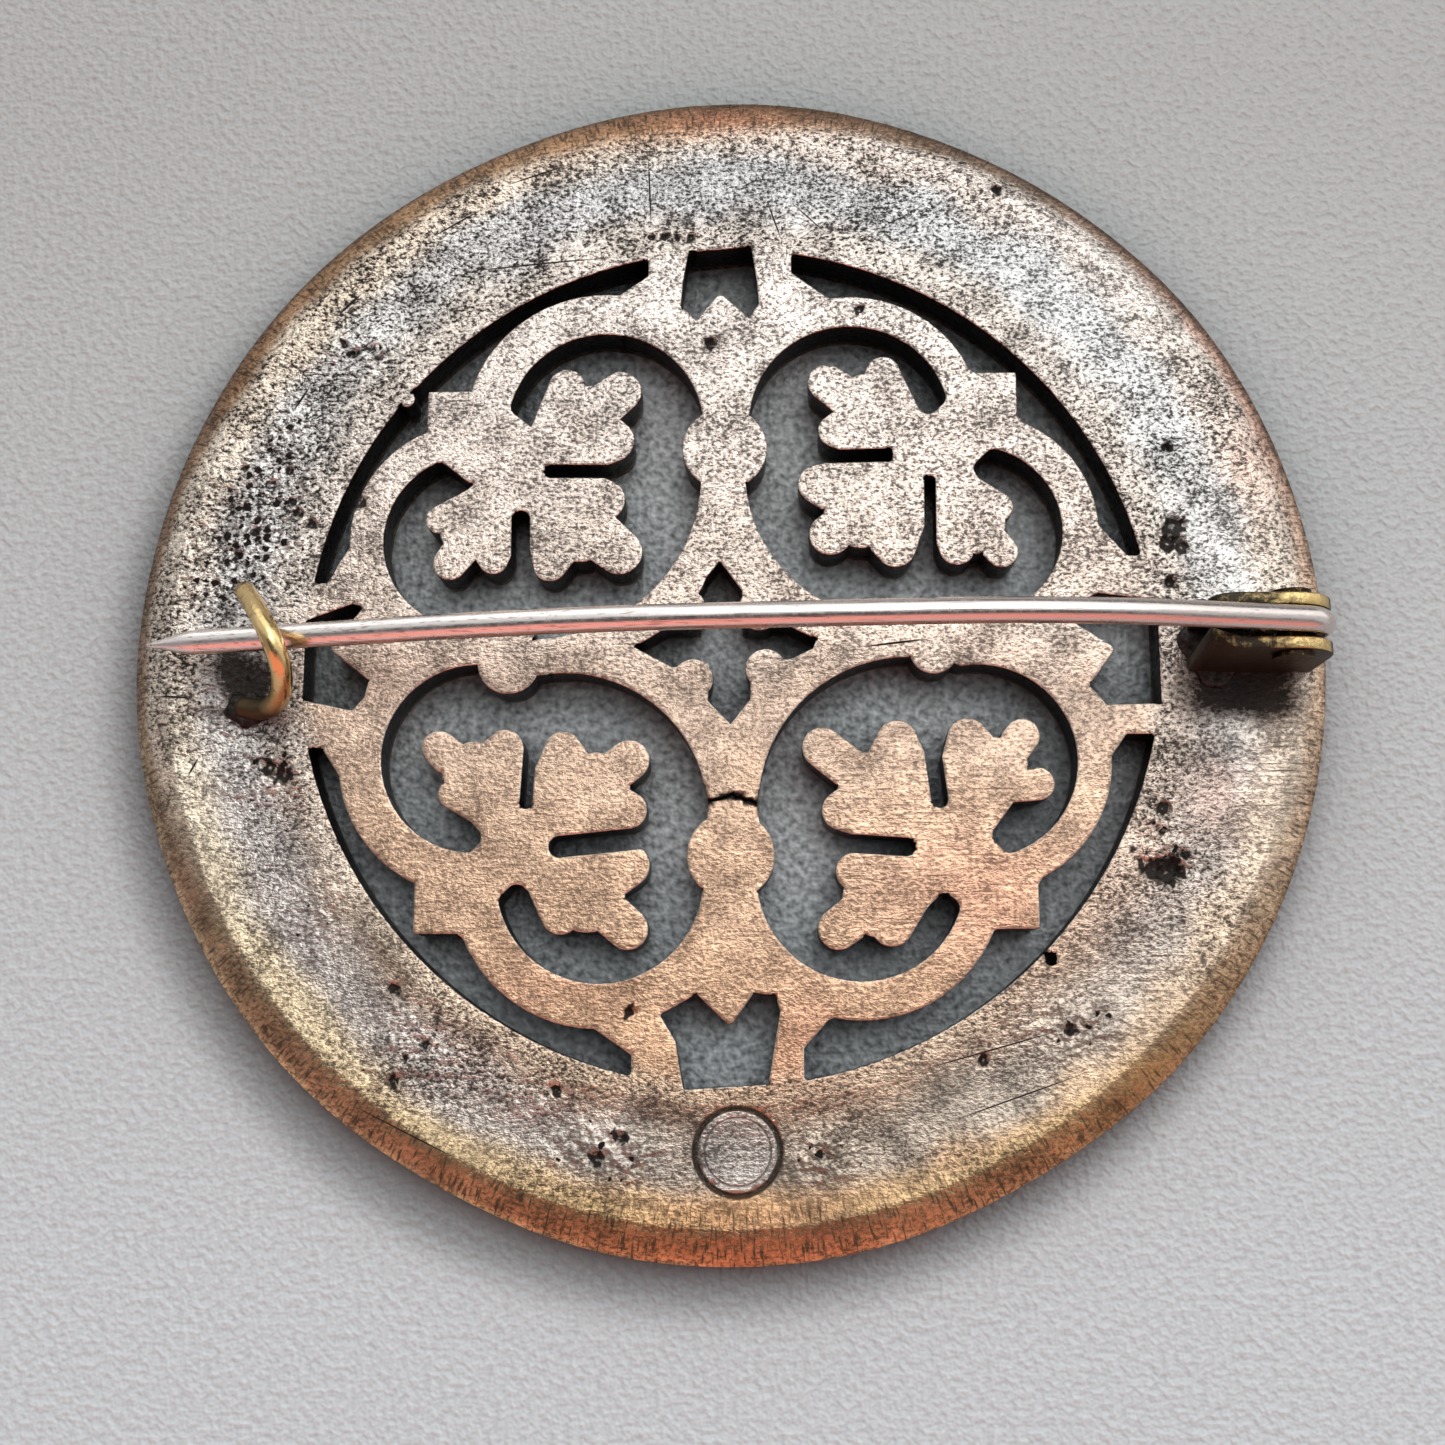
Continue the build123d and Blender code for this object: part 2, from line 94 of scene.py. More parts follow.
# The stubs of the fittings are pressed flat, because the fittings are pieces of their own
fitting_places = [(25.9, 0.05, 3.7, 2.6), (-24.0, -3.0, 2.0, 1.7)]      # x, y, half sizes
for corner in cast.verts:
    for x, y, half_x, half_y in fitting_places:
        if abs(corner.co.x - x * mm) < half_x * mm and abs(corner.co.y - y * mm) < half_y * mm:
            corner.co.z = border_z(corner.co.xy.length)
bmesh.ops.remove_doubles(cast, verts=cast.verts, dist=weld)
bmesh.ops.dissolve_degenerate(cast, dist=weld, edges=cast.edges)
bmesh.ops.dissolve_limit(
    cast, angle_limit=math.radians(0.3), use_dissolve_boundaries=False,
    verts=cast.verts, edges=cast.edges, delimit=set())

# A grid gives the skin enough points to be uneven
lines = round(disc_r / grid_step)
for normal in ((1, 0, 0), (0, 1, 0)):
    for line in range(-lines, lines + 1):
        place = Vector(normal) * (line + grid_phase) * grid_step
        bmesh.ops.bisect_plane(
            cast, geom=cast.verts[:] + cast.edges[:] + cast.faces[:], dist=weld,
            plane_co=place, plane_no=normal)

# Blowholes and dents, filed and fallen: x, y, radius, depth
pits = [
    (-0.9, 16.15, 0.28, 0.30), (6.85, 18.0, 0.22, 0.25), (14.1, 24.6, 0.26, 0.30),
    (22.4, 10.45, 0.22, 0.25), (22.2, 5.35, 0.38, 0.25), (22.5, 6.25, 0.5, 0.25),
    (22.9, 5.2, 0.36, 0.22), (22.2, 3.3, 0.26, 0.3), (20.75, -11.1, 0.5, 0.3),
    (21.5, -11.2, 0.6, 0.35), (21.9, -10.9, 0.36, 0.3), (21.4, -8.1, 0.3, 0.3),
    (21.3, -9.2, 0.16, 0.2), (22.4, -10.4, 0.22, 0.25), (16.5, -18.9, 0.24, 0.25),
    (12.3, -20.3, 0.24, 0.25), (-16.2, -17.0, 0.26, 0.25), (-16.2, -21.3, 0.26, 0.25),
    (-14.7, -19.6, 0.2, 0.25), (-8.3, -21.7, 0.24, 0.25), (-4.8, -18.0, 0.22, 0.25),
    (-4.0, 22.1, 0.18, 0.2), (-3.3, 22.15, 0.2, 0.22), (-2.6, 22.05, 0.16, 0.2),
    (-1.9, 22.1, 0.2, 0.2), (-20.0, 16.4, 0.2, 0.2), (-19.4, 15.9, 0.22, 0.22),
    (-18.6, 16.2, 0.2, 0.2), (-18.1, 15.6, 0.18, 0.2), (-22.0, 7.2, 0.24, 0.25),
    (-22.3, 7.9, 0.2, 0.22), (-21.3, 6.6, 0.26, 0.25), (-18.9, 7.8, 0.34, 0.2),
    (-25.1, 5.0, 0.22, 0.2), (-24.2, 6.3, 0.2, 0.2), (-23.4, 8.8, 0.2, 0.2),
    (-22.6, 9.5, 0.18, 0.2), (-24.9, 9.6, 0.18, 0.2), (-22.9, -5.9, 0.34, 0.3),
    (-22.2, -6.3, 0.4, 0.35), (-6.3, -25.0, 0.3, 0.25), (-5.2, -24.0, 0.28, 0.25),
]
refine_reach = 1.6                 # a closer grid goes this far, in shares of a pit's radius
refine_rounds = 2


def near_pit(point):
    """Whether a point lies in or just round one of the pits."""
    return any(math.hypot(point.x / mm - x, point.y / mm - y) < refine_reach * r
               for x, y, r, depth in pits)


for _ in range(refine_rounds):
    close = [edge for edge in cast.edges
             if near_pit(edge.verts[0].co) or near_pit(edge.verts[1].co)]
    bmesh.ops.subdivide_edges(cast, edges=close, cuts=1, use_grid_fill=True)

# The hand-cut outline isn't quite round: direction in degrees, how far it stands out, in mm
rim_moves = [(35, 0.12), (85, 0.1), (115, -0.14), (185, 0.12), (242, -0.22), (300, -0.24)]
rim_move_width = 13                # degrees


def rim_shift(x, y):
    """How far the rim stands out in the direction of a point."""
    heading = math.degrees(math.atan2(y, x)) % 360
    total = 0
    for direction, move in rim_moves:
        away = (heading - direction + 180) % 360 - 180
        total += move * math.exp(-(away / rim_move_width) ** 2)
    return total * mm


rim_zone = 4 * mm
unevenness = [(7, 0.05), (0.9, 0.016), (0.45, 0.01)]    # waves, lumps, grains: size, height
pit_raggedness = 0.7
pit_lobes = 2.6                    # to the millimetre
pit_noise_z = 5
pit_reach = 2                      # past this many radii the skin is as it was
for corner in cast.verts:
    x, y, z = corner.co
    r = math.hypot(x, y)
    at_rim = max(0, 1 - (disc_r - r) / rim_zone)
    out = 1 + rim_shift(x, y) * at_rim**2 / max(r, mm)
    flat = Vector((x, y, 0))
    for size, height in unevenness:
        z += height * mm * noise.noise(flat / (size * mm))
    ragged_place = Vector((x / mm, y / mm, pit_noise_z)) * pit_lobes
    for pit_x, pit_y, pit_r, depth in pits:
        away = math.hypot(x / mm - pit_x, y / mm - pit_y) / pit_r
        away *= 1 + pit_raggedness * noise.noise(ragged_place)
        if away < pit_reach:
            z -= depth * mm * math.exp(-away**4)
    corner.co = (x * out, y * out, z)

# The walls of the openings and of the rim are drawn down from the skin's edge, step by step: how
# far the wall stands out from that edge, and its height under the back
hole_levels = [
    (0.055, 0.02), (0.075, 0.08), (0.07, 0.3), (0.07, 0.7), (0.05, 1.3), (0.03, 2.0), (0.0, 2.6)]
rim_levels = [(0.0, 1.9), (-0.2, 2.4), (-0.7, 2.6)]
crack_y = -7.75 * mm
crack_half_x = 2 * mm              # the crack's own narrow walls go straight down
crack_half_y = 0.45 * mm
wall_wobble = 0.03 * mm
wobble_size = 0.8 * mm
edge_depth = 0.32 * mm             # above this the walls keep to the skin's edge
wall_lag = 9                       # each point lies a ninth of its depth under the edge, or more
wall_layer = cast.verts.layers.float.new("wall")        # depth under the skin's edge, in mm


def outward(edges):
    """The level direction out of the metal, for each point along an open edge."""
    ways = {}
    for edge in edges:
        along = (edge.verts[1].co - edge.verts[0].co).xy
        away = Vector((along.y, -along.x))
        face = edge.link_faces[0]
        if away.dot(face.calc_center_median().xy - edge.verts[0].co.xy) > 0:
            away = -away
        for corner in edge.verts:
            ways[corner] = ways.get(corner, Vector((0, 0))) + away
    return {corner: way.normalized() for corner, way in ways.items()}


def draw_down(edges, levels):
    """Draws a wall down from an open edge, one level after another."""
    ways = outward(edges)
    for corner in list(ways):
        ways[corner] = (corner.co.copy(), ways[corner])
    for out, depth in levels:
        old = {tuple(corner.co): known for corner, known in ways.items()}
        made = bmesh.ops.extrude_edge_only(cast, edges=edges)["geom"]
        edges = [item for item in made if isinstance(item, bmesh.types.BMEdge)]
        ways = {}
        for corner in [item for item in made if isinstance(item, bmesh.types.BMVert)]:
            home, way = old[tuple(corner.co)]
            ways[corner] = (home, way)
            corner[wall_layer] = depth
            level = back_z - depth * mm
            in_crack = abs(home.x) < crack_half_x and abs(home.y - crack_y) < crack_half_y
            reach = 0 if in_crack else out * mm
            if depth * mm < edge_depth:
                level = home.z - depth * mm
            elif level > 0:
                reach += wall_wobble * noise.noise(Vector((*home.xy, level)) / wobble_size)
            corner.co = (*(home.xy + way * reach), min(level, home.z - depth * mm / wall_lag))


hole_edges = []
rim_edges = []
for edge in cast.edges:
    if edge.is_boundary:
        is_rim = min(corner.co.xy.length for corner in edge.verts) > disc_r - mm
        (rim_edges if is_rim else hole_edges).append(edge)
draw_down(hole_edges, hole_levels)
draw_down(rim_edges, rim_levels)
bmesh.ops.remove_doubles(cast, verts=cast.verts, dist=weld)
bmesh.ops.dissolve_degenerate(cast, dist=weld, edges=cast.edges)
bmesh.ops.triangle_fill(
    cast, edges=[edge for edge in cast.edges if edge.is_boundary], use_beauty=True,
    use_dissolve=False, normal=(0, 0, -1))
bmesh.ops.recalc_face_normals(cast, faces=cast.faces)


def as_object(shape, name):
    """Ends a bmesh: shades its faces smooth and makes it an object of the scene."""
    for face in shape.faces:
        face.smooth = True
    mesh = bpy.data.meshes.new(name)
    shape.to_mesh(mesh)
    shape.free()
    made = bpy.data.objects.new(name, mesh)
    bpy.context.scene.collection.objects.link(made)
    return made


cast_disc = as_object(cast, "cast_disc")
cast_mesh = cast_disc.data

# Tarnish and wear, with painted light and shade: the metal's colour and brightness by direction
# round the disc, in degrees
channel_tints = [
    (0, "#cbc5c0"), (45, "#c2c0be"), (90, "#b0adac"), (135, "#c4bfbb"), (180, "#cbc5c0"),
    (215, "#c4b9b2"), (250, "#c4b8ae"), (270, "#ab9c8d"), (290, "#b0a192"), (315, "#bcaea1"),
    (340, "#b4a9a0"), (360, "#cbc5c0"),
]
inner_tints = [
    (0, "#ccbdb1"), (45, "#cabeb4"), (90, "#cabdb2"), (135, "#ccbfb4"), (180, "#d0c4ba"),
    (225, "#cfbba6"), (270, "#c2a78e"), (315, "#cdb7a2"), (360, "#d8c9bd"),
]
bevel_tints = [
    (0, "#dcbda4"), (30, "#cfab9b"), (60, "#b59b86"), (90, "#ac8162"), (120, "#a88463"),
    (150, "#9a7658"), (180, "#ad937f"), (210, "#ae9a7c"), (240, "#b49c78"), (258, "#b4946c"),
    (270, "#c0966c"), (290, "#bfa078"), (315, "#bf9d6e"), (340, "#dcbfa3"), (360, "#dcbda4"),
]
# The last of the bevel, worn round at the very edge, with a painted highlight along the lower left
# and the bottom
lip_tints = [
    (0, "#c8a88c"), (20, "#6b4a33"), (60, "#75523a"), (90, "#8a6445"), (135, "#7a5a40"),
    (180, "#9a8270"), (215, "#e8cfa4"), (245, "#ecd098"), (270, "#dc9c70"), (300, "#d8a878"),
    (330, "#b8926c"), (360, "#c8a88c"),
]
lip_zone = (0.15, 0.5)             # distances from the rim
lip_strength = 0.8
# The tracery by height up the pattern, in mm
tracery_tints = [(-22, "#d3a988"), (-8, "#d4b298"), (2, "#d3c0b2"), (22, "#dcd0c8")]
bevel_widths = [
    (0, 1.1), (30, 0.9), (60, 0.9), (80, 1.7), (95, 2.4), (120, 1.7), (150, 1.4), (172, 0.6),
    (190, 0.7), (212, 1.8), (240, 2.7), (270, 3.5), (298, 2.6), (320, 1.8), (345, 1.2), (360, 1.1),
]
wall_tint = "#120a08"
wall_top_tint = "#4a2318"
# Rubbed bare metal with a painted highlight, along the top edge of the openings' walls
bare_edge_highlight_tint = "#efe0d2"
front_tint = "#a8845f"

# Between the channel and the bevel: the metal's own colour, rubbed bare, with painted light and
# shade by direction
shoulder_tints = [
    (0, "#d6c4b4"), (45, "#d0c5bd"), (90, "#c6b6a9"), (135, "#d0bfac"), (180, "#d2c5b8"),
    (215, "#d2be9f"), (245, "#ccb291"), (270, "#bf9874"), (300, "#bc9c7e"), (330, "#ccb6a0"),
    (360, "#d6c4b4"),
]

# Redder copper showing through: x, y, half width, half height, amount
blush_tint = "#cf8f76"
blush_places = [
    (-1.0, 28.8, 3.4, 0.7, 0.45), (26.6, 9.5, 1.4, 3.2, 0.25), (13.0, -12.6, 5.4, 3.6, 0.4),
    (3.6, -19.4, 2.4, 2.4, 0.35), (-8.0, -16.8, 3.4, 1.2, 0.25), (2.0, -28.0, 5.0, 1.2, 0.25),
    (24.0, -7.4, 1.6, 2.6, 0.25), (-27.4, -12.4, 1.2, 2.4, 0.25),
]
# Black dirt and flux, and painted shadow south of the hinge's lower ear and beside the catch: x, y,
# half width, half height, amount
soot_and_shadow_places = [
    (-24.6, 3.4, 2.8, 2.8, 0.3), (-24.9, -1.9, 2.9, 2.4, 0.62), (-25.6, 7.4, 2.4, 2.8, 0.42),
    (-24.4, -1.4, 2.0, 1.6, 1.2), (-25.9, -2.7, 1.6, 1.0, 0.7), (-23.8, -3.0, 1.7, 1.4, 0.8),
    (-25.0, 1.6, 0.9, 0.8, 0.7), (25.6, -1.9, 3.4, 2.0, 1.5),
    (-22.8, 9.2, 2.2, 2.2, 0.3), (-22.6, -5.4, 2.0, 1.3, 0.5), (26.0, 2.4, 2.4, 0.7, 0.3),
    (-21.2, -13.0, 2.0, 4.6, 0.3), (-17.2, -18.2, 3.0, 2.8, 0.36),
    (-2.0, 23.0, 4.0, 1.0, 0.34), (-13.5, 21.6, 3.4, 1.0, 0.24), (3.8, -22.6, 3.6, 1.4, 0.3),
    (-5.0, -24.6, 2.6, 1.5, 0.36), (5.0, -25.0, 2.0, 1.5, 0.3), (9.0, -21.6, 4.4, 1.2, 0.26),
    (21.4, -10.6, 2.0, 2.4, 0.32), (17.2, -18.4, 3.0, 1.8, 0.28), (-27.6, -3.0, 1.6, 1.6, 0.3),
    (-11.0, -21.6, 3.4, 1.4, 0.26), (19.4, 1.4, 2.0, 1.2, 0.12), (-19.6, 15.6, 1.4, 1.6, 0.2),
]
# Porous metal, thick with small pits: x, y, half width, half height, share of the spots that open
pitted_places = [
    (-24.6, 6.6, 2.6, 3.4, 0.8), (-22.6, 10.0, 2.0, 3.0, 0.5), (-19.2, 15.8, 1.8, 1.6, 0.5),
    (-26.2, 3.6, 1.4, 1.8, 0.6),
    (-25.4, -2.6, 2.4, 1.8, 0.4), (-23.0, -6.2, 2.2, 1.4, 0.5), (-15.2, -20.0, 3.2, 2.4, 0.34),
    (-5.8, -24.6, 2.6, 1.4, 0.5), (21.6, -9.6, 1.6, 2.6, 0.5), (16.8, -18.6, 3.0, 1.6, 0.4),
    (22.6, 5.2, 1.2, 2.0, 0.25), (4.6, -25.0, 1.8, 1.4, 0.4), (-9.8, -22.0, 3.0, 1.2, 0.3),
    (24.8, -6.0, 2.2, 2.4, 0.2), (-20.8, -13.2, 2.2, 3.6, 0.22),
]
# Metal worn smooth, with few specks left: x, y, half width, half height, strength
calm_places = [
    (-15.0, -25.0, 8.0, 3.4, 0.9), (-26.0, -12.0, 3.0, 8.0, 0.75), (4.0, -27.0, 12.0, 3.6, 0.95),
    (20.0, -20.0, 8.0, 7.0, 0.88), (27.0, -8.0, 4.0, 9.0, 0.8), (12.0, -22.6, 9.0, 4.0, 0.8),
    (-20.0, -16.0, 6.0, 8.0, 0.66), (20.0, 20.0, 9.0, 9.0, 0.5), (26.6, 5.0, 4.0, 8.0, 0.5),
    (0.0, 26.0, 13.0, 4.0, 0.25), (-5.0, -24.6, 7.0, 3.0, 0.7),
]
# File marks that run level: x, y, half width, half height, strength
filed_places = [
    (26.6, -7.0, 4.0, 6.0, 1.0), (19.0, -17.0, 8.0, 5.4, 0.8), (9.0, -11.0, 9.0, 9.0, 1.0),
    (-8.0, -13.0, 9.0, 7.0, 0.8), (0.0, -24.6, 14.0, 4.4, 0.65), (0.0, 4.0, 20.0, 9.0, 0.15),
]


def linear(hex_colour):
    """An sRGB hex colour as the linear colour that a shader takes."""
    channels = [int(hex_colour[start:start + 2], 16) / 255 for start in (1, 3, 5)]
    return [c / 12.92 if c <= 0.04045 else ((c + 0.055) / 1.055) ** 2.4 for c in channels] + [1]


def ease(value, start, end):
    """A share from 0 at start to 1 at end, eased at both ends."""
    share = min(1, max(0, (value - start) / (end - start)))
    return share * share * (3 - 2 * share)


def stop_at(value, table):
    """The value or colour that a table of stops gives between them."""
    value = min(max(value, table[0][0]), table[-1][0])
    for (low, low_stop), (high, high_stop) in zip(table, table[1:]):
        if value <= high:
            share = (value - low) / (high - low)
            if isinstance(low_stop, str):
                return Vector(linear(low_stop)).lerp(Vector(linear(high_stop)), share)
            return low_stop + (high_stop - low_stop) * share


def patch(x, y, places):
    """How strongly the patches of a table cover a point, in mm."""
    return max(amount * math.exp(-((x - mid_x) / half_x) ** 2 - ((y - mid_y) / half_y) ** 2)
               for mid_x, mid_y, half_x, half_y, amount in places)


# The crack across the lower arm, from its left end to its right end: x, y
crack_line = [
    (-1.30, -7.80), (-0.84, -7.69), (-0.40, -7.60), (0.00, -7.48), (0.25, -7.35),
    (0.40, -7.55), (0.60, -7.50), (0.90, -7.70), (1.05, -7.65), (1.80, -8.08),
]
crack_zone = 0.6                   # no point of the crack is further than this from crack_y
crack_width = 0.12                 # the metal is black this far to each side of the line
crack_soot = 1.1


def from_crack(x, y):
    """How far a point is from the crack's line, in mm."""
    gaps = []
    for start, end in zip(crack_line, crack_line[1:]):
        share = intersect_point_line(Vector((x, y)), Vector(start), Vector(end))[1]
        near = Vector(start).lerp(Vector(end), min(1, max(0, share)))
        gaps.append((near - Vector((x, y))).length)
    return min(gaps)


# Where one zone turns to the next: distances from the middle, then depths down a wall, in mm
inner_zone = (20.5, 22)
tracery_zone = (20.5, 22.5)
channel_zone = (22.2, 24.6)
shoulder_zone = (25.8, 27.6)
wall_top_zone = (0.02, 0.08)
wall_zone = (0.1, 0.5)
bevel_zone = (0.55, 1.25)          # shares of the bevel's width
bevel_drift = 0.35
wall_r = 22.5                      # the walls of the openings lie inside this
front_z = 0.1
skin_depth = 0.1
drift_size = 3                     # the borders of the zones wander
drift_reach = 0.9
rim_soot = 1.4                     # the dirt that a pit's rim holds, and where, in its radii
rim_soot_at = 0.62
rim_soot_width = 0.52
rim_raggedness = 0.9
rim_lobes = 3.2
filed_calm = 0.85                  # file marks and the bevel leave the metal smooth
bevel_calm = 0.6
tracery_calm = (0.42, 0.38)        # at the top of the pattern, and what the lower half adds
half_way = (-4, 4)                 # distance under the middle
paint_names = ("soot_and_shadow", "pitted", "filed", "calm", "bevelled", "skin")
for name in paint_names:
    cast_mesh.attributes.new(name, "FLOAT", "POINT")
cast_mesh.attributes.new("tint", "FLOAT_COLOR", "POINT")
paints = {name: cast_mesh.attributes[name].data for name in paint_names}
walls = cast_mesh.attributes["wall"].data
tints = cast_mesh.attributes["tint"].data
for number, corner in enumerate(cast_mesh.vertices):
    x, y, z = corner.co / mm
    r = math.hypot(x, y)
    heading = math.degrees(math.atan2(y, x)) % 360
    drift = drift_reach * noise.noise(Vector((x, y, 0)) / drift_size)
    # Tints by height and direction: tarnish and wear, with painted light and shade in their
    # brightness
    tint = stop_at(y + 2 * drift, tracery_tints)
    tint = tint.lerp(stop_at(heading, inner_tints), ease(r, *inner_zone))
    tint = tint.lerp(stop_at(heading, channel_tints), ease(r + drift, *channel_zone))
    tint = tint.lerp(stop_at(heading, shoulder_tints), ease(r + drift, *shoulder_zone))
    band = stop_at(heading, bevel_widths)
    rim_gap = disc_r / mm - r + bevel_drift * drift
    on_bevel = 1 - ease(rim_gap / band, *bevel_zone)
    tint = tint.lerp(stop_at(heading, bevel_tints), on_bevel)
    tint = tint.lerp(Vector(linear(blush_tint)), patch(x + drift, y + drift, blush_places))
    # The worn lip, with its painted highlight along the lower left and the bottom
    at_lip = 1 - ease(disc_r / mm - r, *lip_zone)
    tint = tint.lerp(stop_at(heading, lip_tints), lip_strength * at_lip)
    down = walls[number].value
    if r < wall_r and down > 0:
        # A painted highlight on the pale top edge, then reddish oxide, then black patina down the
        # wall
        tint = Vector(linear(bare_edge_highlight_tint))
        tint = tint.lerp(Vector(linear(wall_top_tint)), ease(down, *wall_top_zone))
        tint = tint.lerp(Vector(linear(wall_tint)), ease(down, *wall_zone))
    if z < front_z:
        tint = Vector(linear(front_tint))
    tints[number].color = tint
    # Black dirt and flux with painted shadow from the table, then dirt round each pit and in the
    # crack
    darkened = patch(x + drift, y - drift, soot_and_shadow_places)
    ragged = 1 + rim_raggedness * noise.noise(Vector((x, y, pit_noise_z)) * rim_lobes)
    for pit_x, pit_y, pit_r, depth in pits:
        away = math.hypot(x - pit_x, y - pit_y) / pit_r * ragged
        darkened = max(darkened, rim_soot * math.exp(-((away - rim_soot_at) / rim_soot_width) ** 2))
    near_crack = abs(x) < crack_half_x / mm and abs(y - crack_y / mm) < crack_zone
    if near_crack and from_crack(x, y) < crack_width:
        darkened = crack_soot
        tints[number].color = Vector(linear(wall_tint))
    paints["bevelled"][number].value = on_bevel
    paints["skin"][number].value = float(z > skin_low_z / mm and down < skin_depth)
    paints["soot_and_shadow"][number].value = darkened
    paints["pitted"][number].value = patch(x + drift, y + drift, pitted_places)
    filed = patch(x - drift, y + drift, filed_places)
    paints["filed"][number].value = filed
    on_tracery = 1 - ease(r, *tracery_zone)
    high_calm, low_calm = tracery_calm
    paints["calm"][number].value = max(
        filed_calm * filed, bevel_calm * on_bevel,
        on_tracery * (high_calm + low_calm * ease(-y, *half_way)),
        patch(x + drift, y - drift, calm_places))


def put_in(tree, node, inputs):
    """Puts a value, or another node's output, in each named or numbered socket of a node."""
    for socket, value in inputs.items():
        if isinstance(value, bpy.types.NodeSocket):
            tree.links.new(value, node.inputs[socket])
        else:
            node.inputs[socket].default_value = value


def add_node(tree, kind, inputs, output=0, **settings):
    """Adds one shader node and gives one of its outputs.

    A Mix node takes values in sockets 2 and 3, and colours in 6 and 7, which come out of output 2.
    """
    made = tree.nodes.new("ShaderNode" + kind)
    for name, value in settings.items():
        setattr(made, name, value)
    put_in(tree, made, inputs)
    return made.outputs[output]


def start_material(name):
    """A new material with its shader, and the object's own coordinates."""
    made = bpy.data.materials.new(name)
    made.use_nodes = True
    tree = made.node_tree
    shader = tree.nodes["Principled BSDF"]
    place = add_node(tree, "TexCoord", {}, output="Object")
    return made, tree, shader, place


# Cast bronze, bare and worn: a fine skin of grains with black dirt between them, which the eye
# sees as dark specks and short curled lines on pale metal, with a soft sheen
bronze, tree, shader, place = start_material("cast_bronze_worn")
painted = {name: add_node(tree, "Attribute", {}, attribute_name=name, output="Fac")
           for name in paints}
tint = add_node(tree, "Attribute", {}, attribute_name="tint", output="Color")
across = add_node(tree, "VectorMath", {0: place, 1: (0.72, 1, 1)}, operation="MULTIPLY")
grain = add_node(tree, "TexNoise", {
    "Vector": across, "Scale": 1 / (0.2 * mm), "Detail": 2.0, "Roughness": 0.75}, output="Fac")
curls = add_node(tree, "TexNoise", {
    "Vector": place, "Scale": 1 / (0.4 * mm), "Detail": 2.0, "Roughness": 0.6,
    "Distortion": 1.5}, output="Fac")
mottle = add_node(tree, "TexNoise", {
    "Vector": place, "Scale": 1 / (2.2 * mm), "Detail": 3.0, "Roughness": 0.6}, output="Fac")

# Dirt between the grains, thicker in some places than in others
thick = add_node(tree, "Math", {0: mottle, 1: 0.34, 2: -0.17}, operation="MULTIPLY_ADD")
clean = add_node(tree, "Math", {0: grain, 1: thick}, operation="ADD")
specks = add_node(tree, "MapRange", {"Value": clean, "From Min": 0.5, "From Max": 0.38})
curl_off = add_node(tree, "Math", {0: curls, 1: 0.5}, operation="SUBTRACT")
curl_off = add_node(tree, "Math", {0: curl_off}, operation="ABSOLUTE")
curl_lines = add_node(tree, "MapRange", {"Value": curl_off, "From Min": 0.026, "From Max": 0.004})
curl_gate = add_node(tree, "MapRange", {"Value": clean, "From Min": 0.6, "From Max": 0.44})
curl_dirt = add_node(tree, "Math", {0: curl_lines, 1: curl_gate}, operation="MULTIPLY")
# Black dirt and flux, with painted shadow south of the hinge and beside the catch
soot_and_shadow = add_node(tree, "Math", {0: painted["soot_and_shadow"], 1: 1.5, 2: -0.02}, operation="MULTIPLY_ADD")
soot_and_shadow = add_node(tree, "Math", {0: soot_and_shadow, 1: grain}, operation="SUBTRACT")
soot_and_shadow_dark = add_node(tree, "MapRange", {
    "Value": soot_and_shadow, "From Min": -0.15, "From Max": 0.75, "To Max": 0.95})

# Open pits: spots at random, opened where the metal is painted porous
ragged = add_node(tree, "TexNoise", {
    "Vector": place, "Scale": 1 / (0.3 * mm), "Detail": 1.0}, output="Color")
ragged = add_node(tree, "VectorMath", {0: ragged, "Scale": 0.34 * mm}, operation="SCALE")
spot_place = add_node(tree, "VectorMath", {0: place, 1: ragged})
spots = add_node(tree, "TexVoronoi", {
    "Vector": spot_place, "Scale": 1 / (0.5 * mm)}, voronoi_dimensions="2D", output="Distance")
spot_chance = add_node(tree, "SeparateColor", {0: spots.node.outputs["Color"]})
spot_open = add_node(tree, "Math", {0: painted["pitted"], 1: spot_chance}, operation="SUBTRACT")
spot_r = add_node(tree, "MapRange", {"Value": spot_open, "From Max": 0.4, "To Max": 0.46})
spot_in = add_node(tree, "Math", {0: spot_r, 1: spots}, operation="SUBTRACT")
spot_pits = add_node(tree, "MapRange", {"Value": spot_in, "From Max": 0.1})

# File marks: level ones over the painted patches, and radial ones round the bevel
level_place = add_node(tree, "VectorMath", {
    0: place, 1: (1 / (2.4 * mm), 1 / (0.12 * mm), 1 / (2.4 * mm))}, operation="MULTIPLY")
level_marks = add_node(tree, "TexNoise", {
    "Vector": level_place, "Scale": 1.0, "Detail": 2.0}, output="Fac")
level_dirt = add_node(tree, "MapRange", {
    "Value": level_marks, "From Min": 0.42, "From Max": 0.28, "To Max": 0.7})
level_dirt = add_node(tree, "Math", {0: level_dirt, 1: painted["filed"]}, operation="MULTIPLY")
level_shade = add_node(tree, "MapRange", {
    "Value": level_marks, "From Min": 0.35, "From Max": 0.65, "To Min": 0.8, "To Max": 1.2})
level_shade = add_node(tree, "Mix", {0: painted["filed"], 2: 1.0, 3: level_shade})
smoothed = add_node(tree, "MapRange", {"Value": painted["calm"], "To Min": 1.0, "To Max": 0.2})
rubs = 0.0
